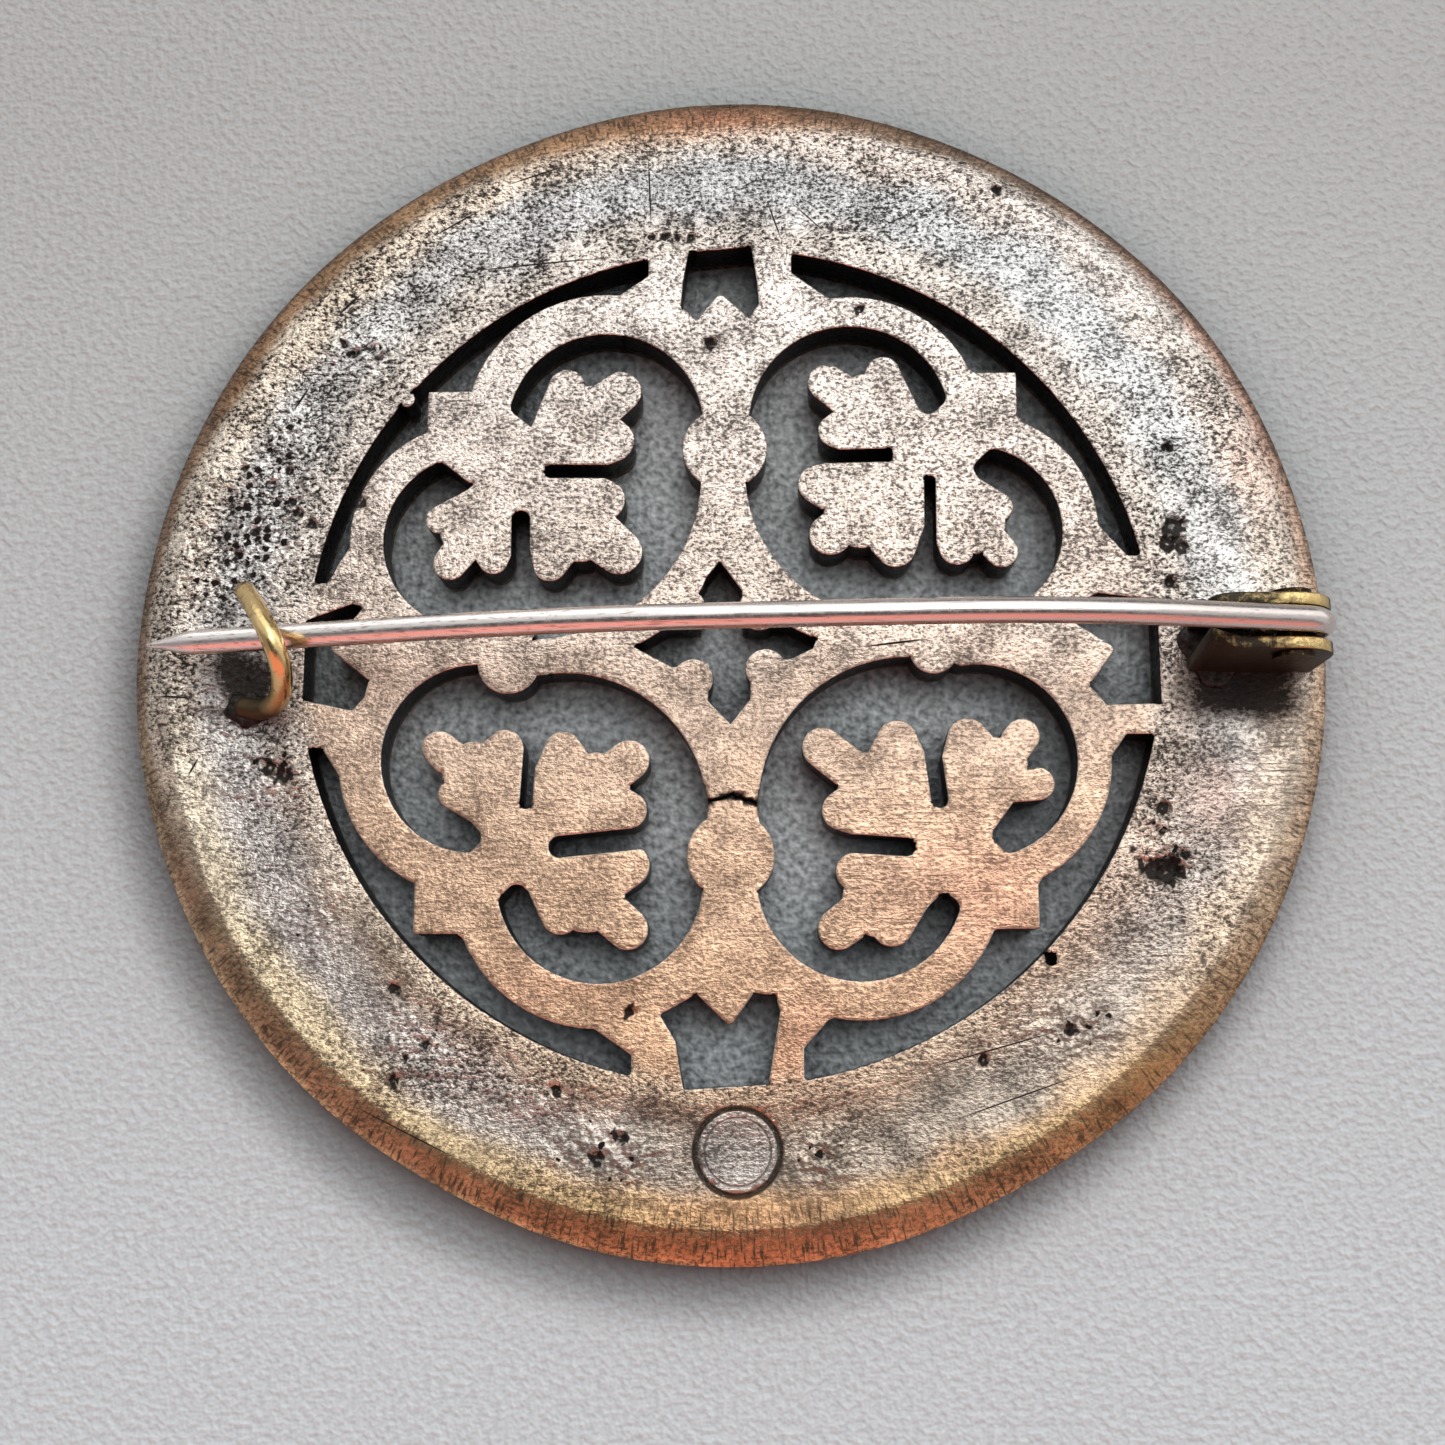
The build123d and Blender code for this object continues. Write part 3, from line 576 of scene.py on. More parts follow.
for heading in (35, 100, 152):     # degrees
    rub_place = add_node(tree, "Mapping", {
        "Vector": place, "Rotation": (0, 0, math.radians(heading)),
        "Scale": (1.8 * mm, 0.09 * mm, 1.8 * mm)}, vector_type="TEXTURE")
    rub = add_node(tree, "TexNoise", {
        "Vector": rub_place, "Scale": 1.0, "Detail": 1.0}, output="Fac")
    rubs = add_node(tree, "Math", {0: rub, 1: rubs}, operation="MAXIMUM")
rub_dirt = add_node(tree, "MapRange", {
    "Value": rubs, "From Min": 0.66, "From Max": 0.78, "To Max": 0.8})
parts = add_node(tree, "SeparateXYZ", {0: place}).node.outputs
from_middle = add_node(tree, "VectorMath", {0: place, 1: (1, 1, 0)}, operation="MULTIPLY")
radius = add_node(tree, "VectorMath", {0: from_middle}, operation="LENGTH", output="Value")
turn = add_node(tree, "Math", {0: parts["Y"], 1: parts["X"]}, operation="ARCTAN2")
tick_along = add_node(tree, "Math", {0: turn, 1: disc_r / (0.17 * mm)}, operation="MULTIPLY")
tick_out = add_node(tree, "Math", {0: radius, 1: 1 / (0.9 * mm)}, operation="MULTIPLY")
tick_place = add_node(tree, "CombineXYZ", {0: tick_along, 1: tick_out})
ticks = add_node(tree, "TexNoise", {
    "Vector": tick_place, "Scale": 1.0, "Detail": 2.0}, output="Fac")
tick_dirt = add_node(tree, "MapRange", {
    "Value": ticks, "From Min": 0.48, "From Max": 0.35, "To Max": 0.8})
tick_dirt = add_node(tree, "Math", {0: tick_dirt, 1: painted["bevelled"]}, operation="MULTIPLY")

# Single scratches and hair cracks: x, y of both ends, width
scratches = [
    (-14.5, 20.3, -5.5, 21.0, 0.13), (-19.0, 19.3, -20.5, 17.8, 0.2),
    (-22.6, 12.6, -21.6, 14.2, 0.16), (-27.0, -6.5, -26.4, -5.3, 0.14),
    (-29.0, -2.3, -26.6, -2.4, 0.16), (6.3, 0.0, 10.5, 0.5, 0.16), (-4.2, 27.0, -4.0, 22.4, 0.12),
    (2.0, 24.4, 2.9, 21.6, 0.12), (3.2, 24.2, 5.4, 22.0, 0.1), (-12.0, 25.0, -8.0, 26.4, 0.12),
    (8.4, -21.0, 17.0, -18.6, 0.1), (-19.0, -22.0, -12.0, -25.4, 0.1),
    (10.0, -23.4, 18.0, -20.6, 0.1), (-16.0, 22.0, -12.6, 24.0, 0.12),
]
scratch_dirt = 0.0
for x0, y0, x1, y1, width in scratches:
    middle = (Vector((x0, y0, 0)) + Vector((x1, y1, 0))) / 2 * mm
    half = math.hypot(x1 - x0, y1 - y0) / 2 * mm
    scratch_place = add_node(tree, "Mapping", {
        "Vector": from_middle, "Location": middle,
        "Rotation": (0, 0, math.atan2(y1 - y0, x1 - x0)),
        "Scale": (half, width / 2 * mm, 1)}, vector_type="TEXTURE")
    scratch = add_node(tree, "TexGradient", {
        0: scratch_place}, gradient_type="SPHERICAL", output="Fac")
    scratch_dirt = add_node(tree, "Math", {0: scratch, 1: scratch_dirt}, operation="MAXIMUM")
scratch_dirt = add_node(tree, "MapRange", {
    "Value": scratch_dirt, "From Min": 0.05, "From Max": 0.5})

# The punch's ring: a dark groove, a bead inside it, and a finer line inside that
punch_middle = (0.46 * mm, -24.6 * mm, 0)
punch_rings = [(2.06, 0.15, 0.85), (1.6, 0.06, 0.6)]    # radius, half width, strength
punch_away = add_node(tree, "VectorMath", {
    0: from_middle, 1: punch_middle}, operation="DISTANCE", output="Value")
punch_dirt = 0.0
for ring_r, half_w, strength in punch_rings:
    ring_off = add_node(tree, "Math", {0: punch_away, 1: ring_r * mm}, operation="SUBTRACT")
    ring_off = add_node(tree, "Math", {0: ring_off}, operation="ABSOLUTE")
    ring = add_node(tree, "MapRange", {
        "Value": ring_off, "From Min": half_w * mm, "From Max": half_w * mm / 3,
        "To Max": strength})
    punch_dirt = add_node(tree, "Math", {0: ring, 1: punch_dirt}, operation="MAXIMUM")
marks = add_node(tree, "Math", {0: scratch_dirt, 1: punch_dirt}, operation="MAXIMUM")
marks = add_node(tree, "Math", {0: marks, 1: painted["skin"]}, operation="MULTIPLY")
in_punch = add_node(tree, "MapRange", {
    "Value": punch_away, "From Min": 2.0 * mm, "From Max": 1.9 * mm, "To Max": 0.5})
in_punch = add_node(tree, "Math", {0: in_punch, 1: painted["skin"]}, operation="MULTIPLY")
tint = add_node(tree, "Mix", {
    0: in_punch, 6: tint, 7: linear("#c9c4c1")}, data_type="RGBA", output=2)

# All the dirt together: each layer, after the way that it joins the ones before it
dirt = specks
for operation, layer in (
        ("MAXIMUM", curl_dirt), ("MAXIMUM", rub_dirt), ("MULTIPLY", smoothed),
        ("MAXIMUM", level_dirt), ("MAXIMUM", tick_dirt), ("MULTIPLY", 0.94),
        ("MAXIMUM", soot_and_shadow_dark), ("MAXIMUM", spot_pits), ("MAXIMUM", marks)):
    dirt = add_node(tree, "Math", {0: dirt, 1: layer}, operation=operation)
shade = add_node(tree, "MapRange", {
    "Value": mottle, "From Min": 0.3, "From Max": 0.7, "To Min": 0.6, "To Max": 1.16})
fine_shade = add_node(tree, "MapRange", {
    "Value": grain, "From Min": 0.32, "From Max": 0.68, "To Min": 0.35, "To Max": 1.65})
fine_shade = add_node(tree, "Mix", {0: smoothed, 2: 1.0, 3: fine_shade})
metal = tint
for layer in (shade, fine_shade, level_shade):
    metal = add_node(tree, "VectorMath", {0: metal, "Scale": layer}, operation="SCALE")
colour = add_node(tree, "Mix", {
    0: dirt, 6: metal, 7: linear("#18120f")}, data_type="RGBA", output=2)
bare = add_node(tree, "MapRange", {"Value": dirt, "To Min": 1.0, "To Max": 0.7})
gloss = add_node(tree, "MapRange", {"Value": dirt, "To Min": 0.36, "To Max": 0.68})

# Where the casting is porous its skin is lumpy too, as if hammered
lumps = add_node(tree, "TexNoise", {
    "Vector": place, "Scale": 1 / (0.6 * mm), "Detail": 1.0}, output="Fac")
lumpy = add_node(tree, "MapRange", {
    "Value": painted["pitted"], "From Min": 0.04, "From Max": 0.34, "To Min": 0.4, "To Max": 5.0})
lumps = add_node(tree, "Math", {0: lumps, 1: lumpy}, operation="MULTIPLY")
sunk = add_node(tree, "Math", {0: spot_pits, 1: punch_dirt}, operation="MAXIMUM")
relief = add_node(tree, "MapRange", {
    "Value": smoothed, "From Min": 0.2, "To Min": 0.8, "To Max": 1.9})
height = grain
for operation, layer in (("MULTIPLY", relief), ("SUBTRACT", sunk), ("ADD", lumps)):
    height = add_node(tree, "Math", {0: height, 1: layer}, operation=operation)
bump = add_node(tree, "Bump", {"Height": height, "Distance": 0.055 * mm})
put_in(tree, shader, {
    "Base Color": colour, "Metallic": bare, "Roughness": gloss, "Normal": bump})
cast_mesh.materials.append(bronze)
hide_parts("brooch_disc")
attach(cast_disc, "disc")

# Hinge: two small ears cut from brass sheet, stood on edge and soldered to the back by the rim.
# They were filed over after soldering, so their tops are bright brass at the rim end and black
# with solder and flux at the inner end.
ear_t = 0.62 * mm
ear_h = 5.4 * mm
ear_left_x = 22.9 * mm
ear_right_x = 29.0 * mm
ear_foot = 0.6 * mm                # how far the feet reach into the disc
ear_faces_y = (-1.325 * mm, 0.805 * mm)                 # lower face of each ear
ear_curls = (0.26, -0.06)          # how far each inner end curls inward, 1 mm past curl_x
# Brass, filed and rubbed bright: warm yellow where it is clean, brown black in the solder, and
# painted shade near black on the flanks and low down
brass, tree, shader, place = start_material("brass_sheet_filed")
wear = add_node(tree, "TexNoise", {
    "Vector": place, "Scale": 1 / (0.5 * mm), "Detail": 4.0, "Roughness": 0.7}, output="Fac")
parts = add_node(tree, "SeparateXYZ", {0: place}).node.outputs
burnt_and_shaded = add_node(tree, "MapRange", {
    "Value": parts["X"], "From Min": 25.0 * mm, "From Max": 27.6 * mm,
    "To Min": 0.72, "To Max": 0.34})
# Painted shade: darker down the ears, under their tops
low = add_node(tree, "MapRange", {
    "Value": parts["Z"], "From Min": back_z + 4.7 * mm, "From Max": back_z + 3.9 * mm,
    "To Max": 0.6})
# Painted shade: the flat faces of the ears go near black
flank_shade = add_node(tree, "NewGeometry", {}, output="True Normal")
flank_shade = add_node(tree, "SeparateXYZ", {0: flank_shade}, output="Y")
flank_shade = add_node(tree, "Math", {0: flank_shade}, operation="ABSOLUTE")
flank_shade = add_node(tree, "MapRange", {
    "Value": flank_shade, "From Min": 0.8, "From Max": 0.95, "To Max": 0.6})
flank_shade = add_node(tree, "Math", {0: flank_shade, 1: low}, operation="MAXIMUM")
for operation, layer in (("ADD", flank_shade), ("SUBTRACT", wear)):
    burnt_and_shaded = add_node(tree, "Math", {0: burnt_and_shaded, 1: layer}, operation=operation)
burnt_and_shaded = add_node(tree, "MapRange", {
    "Value": burnt_and_shaded, "From Min": -0.12, "From Max": 0.2, "To Max": 0.96})
colour = add_node(tree, "Mix", {
    0: burnt_and_shaded, 6: linear("#cfb27a"), 7: linear("#0a0605")}, data_type="RGBA", output=2)
gloss = add_node(tree, "MapRange", {"Value": burnt_and_shaded, "To Min": 0.24, "To Max": 0.5})
bare = add_node(tree, "MapRange", {"Value": burnt_and_shaded, "To Min": 1.0, "To Max": 0.6})
bump = add_node(tree, "Bump", {"Height": wear, "Distance": 0.08 * mm})
put_in(tree, shader, {
    "Base Color": colour, "Metallic": bare, "Roughness": gloss, "Normal": bump})


def standing_plate(points, thickness):
    """A plate that stands along the XZ plane, with this outline and thick along Y."""
    plate = bmesh.new()
    corners = [plate.verts.new(point) for point in points]
    face = plate.faces.new(corners)
    made = bmesh.ops.extrude_face_region(plate, geom=[face])["geom"]
    moved = [item for item in made if isinstance(item, bmesh.types.BMVert)]
    bmesh.ops.translate(plate, verts=moved, vec=(0, thickness, 0))
    bmesh.ops.recalc_face_normals(plate, faces=plate.faces)
    return plate


foot_z = back_z - ear_foot
top_z = back_z + ear_h
nose_r = 2.2 * mm
heel_r = 0.8 * mm
# The two rounded upper corners: X of the arc's middle, radius, first direction, number of steps
ear_arcs = [(ear_right_x - nose_r, nose_r, 0, 8), (ear_left_x + heel_r, heel_r, 90, 4)]
sharp_angle = math.radians(60)
ear_round = 0.09 * mm
curl_x = 24.4 * mm                 # left of this, and above curl_z, the inner end curls
curl_z = back_z + 3 * mm
curl_cuts = [0.3, 0.55, 0.8, 1.05, 1.3, 1.55]           # from the left, to let the plate bend
for ear_number, (ear_y, curl) in enumerate(zip(ear_faces_y, ear_curls), 1):
    points = [(ear_left_x, ear_y, foot_z), (ear_right_x, ear_y, foot_z)]
    for middle_x, arc_r, start, steps in ear_arcs:
        for step in range(steps + 1):
            angle = math.radians(start + 90 * step / steps)
            points.append((middle_x + arc_r * math.cos(angle), ear_y,
                           top_z - arc_r + arc_r * math.sin(angle)))
    plate = standing_plate(points, ear_t)
    sharp = [edge for edge in plate.edges if edge.calc_face_angle(0) > sharp_angle]
    bmesh.ops.bevel(plate, geom=sharp, offset=ear_round, segments=2, profile=0.5,
                    affect="EDGES", material=-1)
    for cut in curl_cuts:
        bmesh.ops.bisect_plane(
            plate, geom=plate.verts[:] + plate.edges[:] + plate.faces[:], dist=weld,
            plane_co=(ear_left_x + cut * mm, 0, 0), plane_no=(1, 0, 0))
    for corner in plate.verts:
        past = max(0, curl_x - corner.co.x) / mm
        corner.co.y += curl * past**2 * mm * (corner.co.z > curl_z)
    ear = as_object(plate, f"hinge_ear_{ear_number}")
    ear.data.materials.append(brass)
    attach(ear, "disc")

# Catch: one length of brass wire, soldered down at its foot, that arches over the pin and ends in
# a free rounded tip. The pin springs up against it from below.
hook_d = 1.05 * mm
hook_line = [
    (-23.9, 2.6, 2.0), (-22.6, 1.0, 4.0), (-21.8, -0.2, 4.8), (-21.3, -1.7, 4.1),
    (-21.8, -2.9, 1.9), (-23.0, -3.3, 0.45), (-24.4, -2.9, 0.1),
]


def wire(name, points, radii, width, order):
    """A round wire as a mesh, along the smooth line that its control points lead."""
    line = bpy.data.curves.new(name, "CURVE")
    line.dimensions = "3D"
    line.bevel_depth = width / 2
    line.bevel_resolution = 6
    line.resolution_u = 12
    line.use_fill_caps = True
    spline = line.splines.new("NURBS")
    spline.points.add(len(points) - 1)
    for knot, point, radius in zip(spline.points, points, radii):
        knot.co = (*point, 1)
        knot.radius = radius
    spline.order_u = order
    spline.use_endpoint_u = True
    drawn = bpy.data.objects.new(name, line)
    bpy.context.scene.collection.objects.link(drawn)
    bpy.context.view_layer.update()
    skin = bpy.data.meshes.new_from_object(
        drawn.evaluated_get(bpy.context.evaluated_depsgraph_get()))
    shaped = bmesh.new()
    shaped.from_mesh(skin)
    bpy.data.objects.remove(drawn)
    bpy.data.meshes.remove(skin)
    bmesh.ops.remove_doubles(shaped, verts=shaped.verts, dist=weld)
    bmesh.ops.recalc_face_normals(shaped, faces=shaped.faces)
    return as_object(shaped, name)


hook_points = [Vector((x, y, h)) * mm + Vector((0, 0, back_z)) for x, y, h in hook_line]
hook = wire("catch_hook", hook_points, [1] * len(hook_points), hook_d, order=4)
# Brass wire polished by the pin and by fingers: pale gold with a clear highlight along it
wire_brass, tree, shader, place = start_material("brass_wire_polished")
wear = add_node(tree, "TexNoise", {
    "Vector": place, "Scale": 1 / (0.5 * mm), "Detail": 4.0, "Roughness": 0.6}, output="Fac")
dull = add_node(tree, "MapRange", {"Value": wear, "From Min": 0.58, "From Max": 0.7, "To Max": 0.6})
up = add_node(tree, "SeparateXYZ", {0: place}, output="Z")
at_foot = add_node(tree, "MapRange", {
    "Value": up, "From Min": back_z + 2.4 * mm, "From Max": back_z + 1.2 * mm, "To Max": 0.95})
dull = add_node(tree, "Math", {0: dull, 1: at_foot}, operation="MAXIMUM")
colour = add_node(tree, "Mix", {
    0: dull, 6: linear("#e6c68c"), 7: linear("#43372a")}, data_type="RGBA", output=2)
gloss = add_node(tree, "MapRange", {"Value": dull, "To Min": 0.2, "To Max": 0.5})
bump = add_node(tree, "Bump", {"Height": wear, "Distance": 0.03 * mm})
put_in(tree, shader, {
    "Base Color": colour, "Metallic": 1, "Roughness": gloss, "Normal": bump})
hook.data.materials.append(wire_brass)
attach(hook, "disc")

# Solder: a low rough mound at the inner end of the hinge and one over the foot of the catch.
# Tin-lead solder gone dull, with burnt flux on it: grey, rough and half black, kept dark as painted
# shade in the fittings' shadow
solder_material, tree, shader, place = start_material("soft_solder_tarnished_and_shaded")
crust = add_node(tree, "TexNoise", {
    "Vector": place, "Scale": 1 / (0.4 * mm), "Detail": 4.0, "Roughness": 0.7}, output="Fac")
flux = add_node(tree, "MapRange", {"Value": crust, "From Min": 0.72, "From Max": 0.3})
colour = add_node(tree, "Mix", {
    0: flux, 6: linear("#4f4a47"), 7: linear("#15100e")}, data_type="RGBA", output=2)
bump = add_node(tree, "Bump", {"Height": crust, "Distance": 0.12 * mm})
put_in(tree, shader, {
    "Base Color": colour, "Metallic": 1, "Roughness": 0.48, "Normal": bump})
solder_places = [                  # name, x, y, half sizes
    ("hinge_solder", 24.2, 0.05, 1.8, 2.0), ("catch_solder", -24.0, -3.0, 1.15, 0.95)]
mound_sink = 0.2 * mm
mound_half_h = 0.5 * mm
mound_swell = 0.35
mound_lobes = 1.6
for name, x, y, half_x, half_y in solder_places:
    mound = bmesh.new()
    bmesh.ops.create_uvsphere(mound, u_segments=48, v_segments=24, radius=1)
    for corner in mound.verts:
        swell = 1 + mound_swell * noise.noise(corner.co * mound_lobes + Vector((x, y, 0)))
        corner.co = (x * mm + corner.co.x * swell * half_x * mm,
                     y * mm + corner.co.y * swell * half_y * mm,
                     back_z - mound_sink + corner.co.z * swell * mound_half_h)
    solder = as_object(mound, name)
    solder.data.materials.append(solder_material)
    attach(solder, "disc")

# Rivet: a stub of brass wire through both ears, its ends hammered over. The CAD solid is right.
# Old brass in a corner that no finger reaches: brown black, with a dull yellow gleam
dark_brass, tree, shader, place = start_material("brass_rivet_tarnished")
crust = add_node(tree, "TexNoise", {
    "Vector": place, "Scale": 1 / (0.3 * mm), "Detail": 3.0, "Roughness": 0.6}, output="Fac")
clean = add_node(tree, "MapRange", {"Value": crust, "From Min": 0.55, "From Max": 0.75})
colour = add_node(tree, "Mix", {
    0: clean, 6: linear("#2c221a"), 7: linear("#94784a")}, data_type="RGBA", output=2)
bump = add_node(tree, "Bump", {"Height": crust, "Distance": 0.04 * mm})
put_in(tree, shader, {
    "Base Color": colour, "Metallic": 1, "Roughness": 0.45, "Normal": bump})
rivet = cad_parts["hinge_rivet"]
for material_slot in rivet.material_slots:
    material_slot.material = dark_brass

# Pin: one length of hard drawn white wire, wound round the rivet at one end and ground to a point
# at the other. It bows up over the disc, so that it presses up into the catch.
pin_d = 1.25 * mm
pin_y = 0.05 * mm
pin_tip = (-29.0, 1.1)             # along the disc, and height above its back
pin_bow = [(-8.0, 6.1), (4.0, 7.1), (16.0, 7.85)]
point_len = 2.4                    # the ground point
point_share = 0.1                  # width of its tip, as a share of the wire's
past_point = 1.5                   # the next control point, in lengths of the point
rivet_x = 26.9
rivet_h = 4.2
eye_r = 1.4                        # from the middle of the rivet to the middle of the wire
eye_step = math.radians(45)
eye_steps = 6


def pin_spot(x, h):
    """A point in the plane of the pin."""
    return Vector((x * mm, pin_y, back_z + h * mm))


tip = Vector(pin_tip)
rise = (Vector(pin_bow[0]) - tip).normalized()
pin_line = [(tip + rise * point_len * share, point_share + (1 - point_share) * share)
            for share in (0, 0.5, 1)]
pin_line.append((tip + rise * point_len * past_point, 1))
pin_line += [(Vector(bow), 1) for bow in pin_bow]
rivet_at = Vector((rivet_x, rivet_h))
run_in = rivet_at - Vector(pin_bow[-1])
heading = math.atan2(run_in.y, run_in.x) + math.asin(eye_r / run_in.length)
corner_r = eye_r / math.cos(eye_step / 2)
for step in range(eye_steps + 1):
    turn = heading + math.pi / 2 + eye_step / 2 - eye_step * (step + 1)
    spot = rivet_at + corner_r * Vector((math.cos(turn), math.sin(turn)))
    if step == 0:
        shoulder = spot - 2 * eye_r * math.tan(eye_step / 2) * Vector(
            (math.cos(heading), math.sin(heading)))
        pin_line.append((shoulder, 1))
    pin_line.append((spot, 1))
pin = wire("pin", [pin_spot(*spot) for spot, radius in pin_line],
           [radius for spot, radius in pin_line], pin_d, order=3)
# Nickel silver wire, hard drawn and polished by wear: a bright white metal, a little warm, with
# fine lines along it from the drawplate and brown tarnish in the deeper ones
white_wire, tree, shader, place = start_material("nickel_silver_wire_polished")
drawn_place = add_node(tree, "VectorMath", {
    0: place, 1: (1 / (5 * mm), 1 / (0.12 * mm), 1 / (0.12 * mm))}, operation="MULTIPLY")
drawn = add_node(tree, "TexNoise", {
    "Vector": drawn_place, "Scale": 1.0, "Detail": 2.0}, output="Fac")
specks = add_node(tree, "TexNoise", {
    "Vector": place, "Scale": 1 / (0.35 * mm), "Detail": 3.0, "Roughness": 0.7}, output="Fac")
tarnish = add_node(tree, "MapRange", {
    "Value": drawn, "From Min": 0.44, "From Max": 0.3, "To Max": 0.55})
spots = add_node(tree, "MapRange", {
    "Value": specks, "From Min": 0.64, "From Max": 0.74, "To Max": 0.7})
handled = add_node(tree, "SeparateXYZ", {0: place}, output="X")
handled = add_node(tree, "MapRange", {
    "Value": handled, "From Min": -4.0 * mm, "From Max": 22.0 * mm, "To Max": 0.34})
for layer in (spots, handled):
    tarnish = add_node(tree, "Math", {0: tarnish, 1: layer}, operation="MAXIMUM")
colour = add_node(tree, "Mix", {
    0: tarnish, 6: linear("#f0e6e1"), 7: linear("#7d6357")}, data_type="RGBA", output=2)
gloss = add_node(tree, "MapRange", {
    "Value": specks, "From Min": 0.3, "From Max": 0.7, "To Min": 0.16, "To Max": 0.32})
bump = add_node(tree, "Bump", {"Height": drawn, "Strength": 0.6, "Distance": 0.012 * mm})
put_in(tree, shader, {
    "Base Color": colour, "Metallic": 1, "Roughness": gloss, "Normal": bump})
pin.data.materials.append(white_wire)
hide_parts("pin_stem")
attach(pin, "pin")

# Floor: one large sheet of pale grey card, pressed with a fine leathery grain in the mill. The
# brooch lies on it unfixed, with its front down.
floor_half = 0.6
ground = bmesh.new()
bmesh.ops.create_grid(ground, x_segments=2, y_segments=2, size=floor_half)
floor = as_object(ground, "floor")
# Coated card: the eye sees small soft pebbles that each catch the light. Its colour holds painted
# light
# and shade: paler on the near side, a painted shadow along the foot of the rim, near black painted
# shade where the openings are deep and narrow, and paler card with painted glints in the openings
board, tree, shader, place = start_material("grained_board")
pebble = add_node(tree, "TexNoise", {
    "Vector": place, "Scale": 1 / (0.38 * mm), "Detail": 1.0}, output="Fac")
# Painted light: the card paler on the near side, darker towards the far side
far_side = add_node(tree, "SeparateXYZ", {0: place}, output="Y")
far_side = add_node(tree, "MapRange", {
    "Value": far_side, "From Min": -32 * mm, "From Max": 32 * mm})
card_and_painted_light = add_node(tree, "Mix", {
    0: far_side, 6: linear("#c6cbcd"), 7: linear("#acadab")}, data_type="RGBA", output=2)
# Painted shade: where the disc's walls hide the sky towards the light, the card goes near black
painted_open_sky = add_node(tree, "AmbientOcclusion", {
    "Distance": 6.5 * mm, "Normal": Vector((0.36, 0.72, 0.85)).normalized()},
    samples=1, output="AO")
painted_open_sky = add_node(tree, "MapRange", {"Value": painted_open_sky, "From Min": 0.3, "From Max": 0.58})
under = add_node(tree, "VectorMath", {
    0: place, 1: (-1.0 * mm, -1.5 * mm, 0)}, operation="DISTANCE", output="Value")
# Painted shadow: a soft dark band along the foot of the rim, round a middle set off to the near
# left, so that it lies outside the rim on the lower left
rim_away = add_node(tree, "Math", {0: under, 1: disc_r - 1.0 * mm}, operation="SUBTRACT")
rim_away = add_node(tree, "Math", {0: rim_away}, operation="ABSOLUTE")
clear = add_node(tree, "MapRange", {
    "Value": rim_away, "From Min": 0.4 * mm, "From Max": 3.2 * mm,
    "To Min": 0.5, "To Max": 1.0}, interpolation_type="SMOOTHSTEP")
# Painted light inside the disc's outline: the card paler, and its pebbles in strong light and dark
# as painted glints
painted_glint_strength = add_node(tree, "MapRange", {
    "Value": under, "From Min": disc_r - 3 * mm, "From Max": disc_r - 6 * mm,
    "To Min": 0.4, "To Max": 3.6})
painted_lift = add_node(tree, "MapRange", {
    "Value": under, "From Min": disc_r - 3 * mm, "From Max": disc_r - 6 * mm,
    "To Min": 1.0, "To Max": 1.45})
pebbles_and_painted_light = add_node(tree, "Math", {0: pebble, 1: 0.5}, operation="SUBTRACT")
pebbles_and_painted_light = add_node(tree, "Math", {
    0: pebbles_and_painted_light, 1: painted_glint_strength, 2: painted_lift}, operation="MULTIPLY_ADD")
for layer in (clear, pebbles_and_painted_light):
    card_and_painted_light = add_node(tree, "VectorMath", {0: card_and_painted_light, "Scale": layer}, operation="SCALE")
# Painted shade: near black where little open sky is left
card_and_painted_light = add_node(tree, "Mix", {
    0: painted_open_sky, 6: linear("#11151b"), 7: card_and_painted_light}, data_type="RGBA", output=2)
bump = add_node(tree, "Bump", {"Height": pebble, "Distance": 0.15 * mm})
put_in(tree, shader, {"Base Color": card_and_painted_light, "Roughness": 0.45, "Normal": bump})
floor.data.materials.append(board)

# Light: a studio dome, bright and even from straight above over to the top of the pattern, and
# dark on the near side, with a dim warm patch low down there. It gives soft shadows to the south.
white_light = (0.97, 1.0, 1.01)    # strengths in red, green and blue, so not only up to 1
dim_side = (0.09, 0.085, 0.085, 1)
low_side = (0.3, 0.3, 0.31, 1)
warm_patch = (1.05, 0.42, 0.36, 1)
world = bpy.data.worlds.new("studio")
world.use_nodes = True
tree = world.node_tree
sky = add_node(tree, "TexCoord", {}, output="Generated")
to_north = add_node(tree, "VectorMath", {
    0: sky, 1: (0.3, 0.954, 0)}, operation="DOT_PRODUCT", output="Value")
bright = add_node(tree, "MapRange", {
    "Value": to_north, "From Min": -0.3, "From Max": 0.04}, interpolation_type="SMOOTHSTEP")
brightest = add_node(tree, "MapRange", {
    "Value": to_north, "From Min": 0.3, "From Max": 0.6, "To Min": 0.75, "To Max": 1.5},
    interpolation_type="SMOOTHSTEP")
horizon = add_node(tree, "MapRange", {
    "Value": to_north, "From Min": 0.84, "From Max": 0.94, "To Min": 1.0, "To Max": 0.15},
    interpolation_type="SMOOTHSTEP")
power = add_node(tree, "Math", {0: brightest, 1: horizon}, operation="MULTIPLY")
to_key = add_node(tree, "VectorMath", {
    0: sky, 1: Vector((0.2, 0.37, 1)).normalized()}, operation="DOT_PRODUCT", output="Value")
key = add_node(tree, "MapRange", {
    "Value": to_key, "From Min": 0.9, "From Max": 0.97, "To Max": 2.3},
    interpolation_type="SMOOTHSTEP")
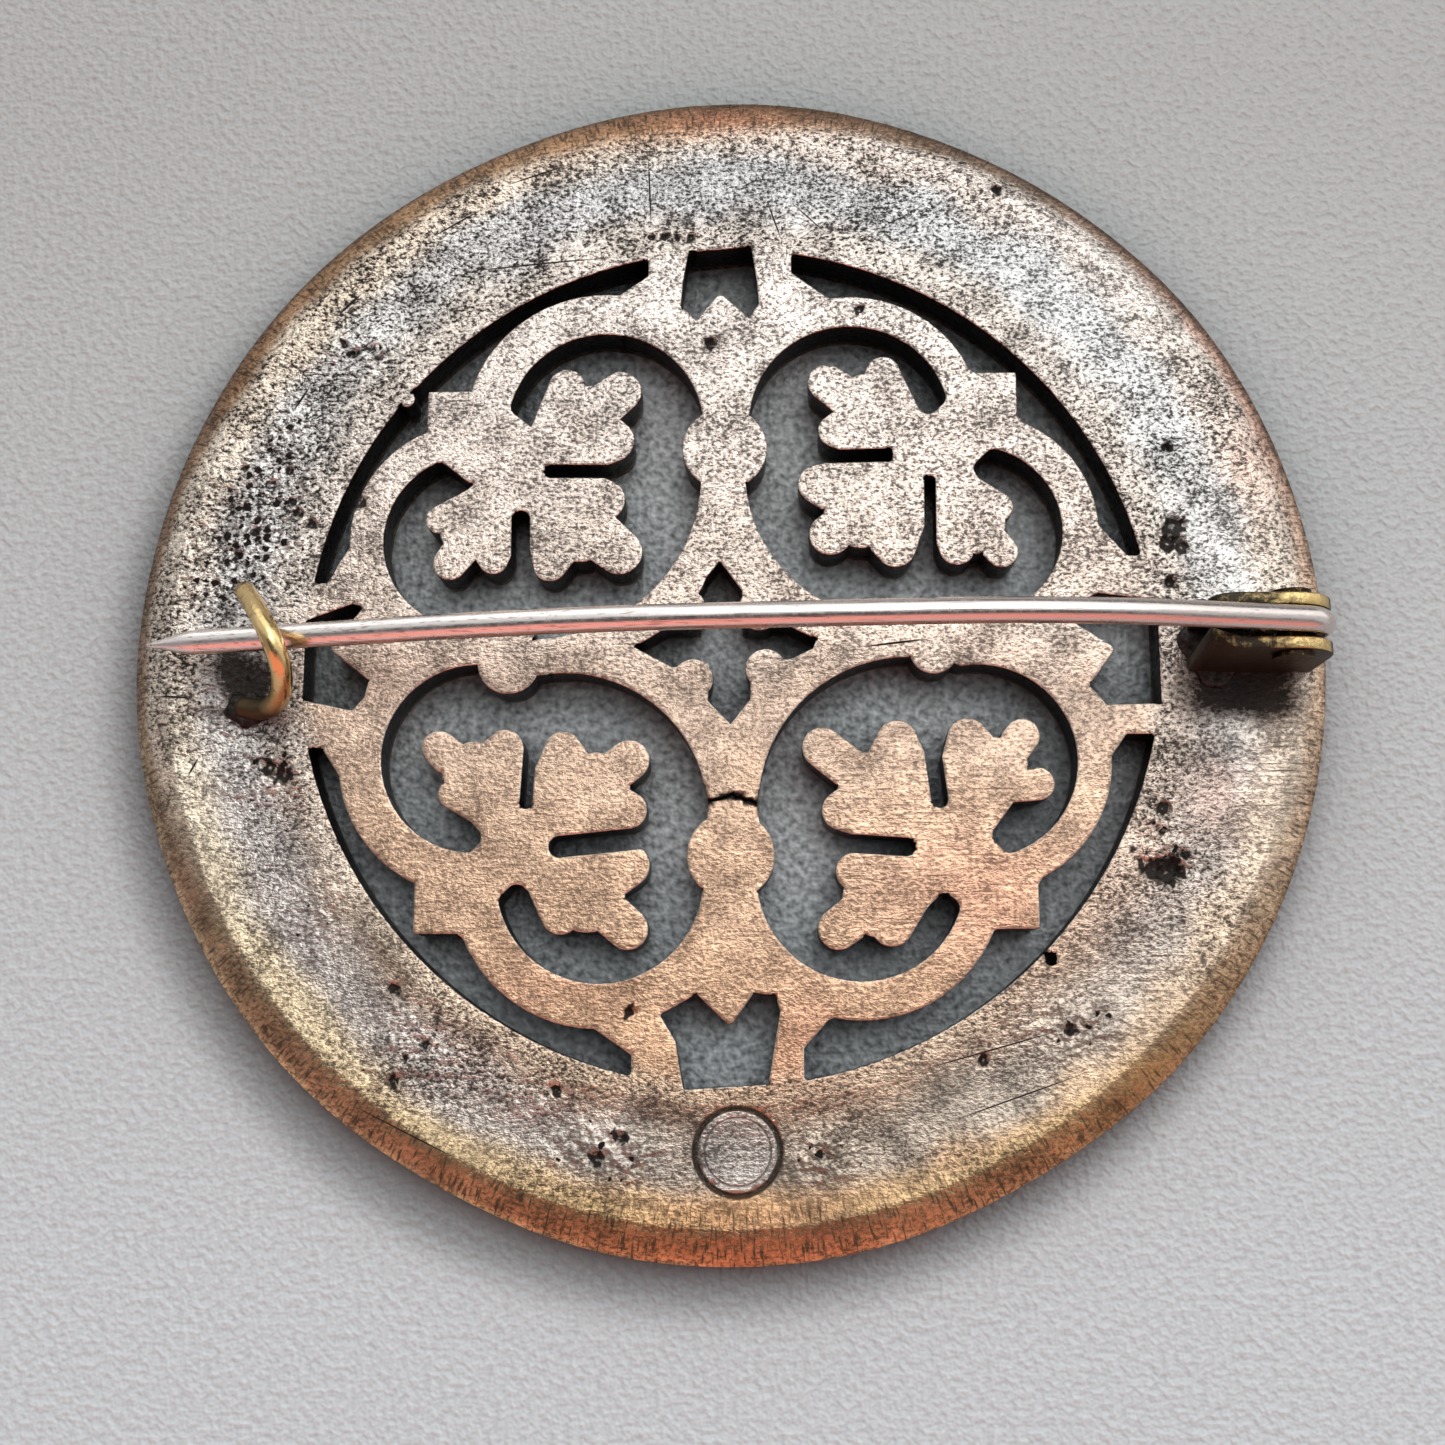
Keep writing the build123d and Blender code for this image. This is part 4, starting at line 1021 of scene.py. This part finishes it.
power = add_node(tree, "Math", {0: power, 1: key}, operation="ADD")
white = add_node(tree, "VectorMath", {0: white_light, "Scale": power}, operation="SCALE")
level = add_node(tree, "SeparateXYZ", {0: sky}, output="Z")
low = add_node(tree, "MapRange", {
    "Value": level, "From Min": 0.8, "From Max": 0.62}, interpolation_type="SMOOTHSTEP")
to_near = add_node(tree, "VectorMath", {
    0: sky, 1: (-0.1, -0.995, 0)}, operation="DOT_PRODUCT", output="Value")
near = add_node(tree, "MapRange", {
    "Value": to_near, "From Min": 0.45, "From Max": 0.72}, interpolation_type="SMOOTHSTEP")
sides = add_node(tree, "Mix", {0: low, 6: dim_side, 7: low_side}, data_type="RGBA", output=2)
warm = add_node(tree, "Math", {0: low, 1: near}, operation="MULTIPLY")
dim = add_node(tree, "Mix", {0: warm, 6: sides, 7: warm_patch}, data_type="RGBA", output=2)
dome = add_node(tree, "Mix", {0: bright, 6: dim, 7: white}, data_type="RGBA", output=2)
seen = add_node(tree, "LightPath", {}, output="Is Camera Ray")
backdrop = add_node(tree, "Mix", {
    0: seen, 6: dome, 7: linear("#c6c8ca")}, data_type="RGBA", output=2)
put_in(tree, tree.nodes["Background"], {"Color": backdrop})
bpy.context.scene.world = world
bpy.context.scene.view_settings.view_transform = "Standard"

# Camera: above the back and a little to the near side, upright in the photograph's frame. It is
# three disc radii away, as near as the spread of the openings' walls says.
camera_place = Vector((1.70, -19.80, 90.70)) * mm
camera_aim = Vector((-0.260, -3.772, 2.6)) * mm
camera_back = (camera_place - camera_aim).normalized()
camera_right = Vector((0, 1, 0)).cross(camera_back).normalized()
camera_up = camera_back.cross(camera_right)
camera_data = bpy.data.cameras.new("camera")
camera_data.lens = 44.84
camera_data.sensor_width = 36
camera_data.clip_start = 0.005
camera = bpy.data.objects.new("camera", camera_data)
camera.matrix_world = Matrix.LocRotScale(
    camera_place, Matrix((camera_right, camera_up, camera_back)).transposed(), None)
bpy.context.scene.collection.objects.link(camera)
bpy.context.scene.camera = camera
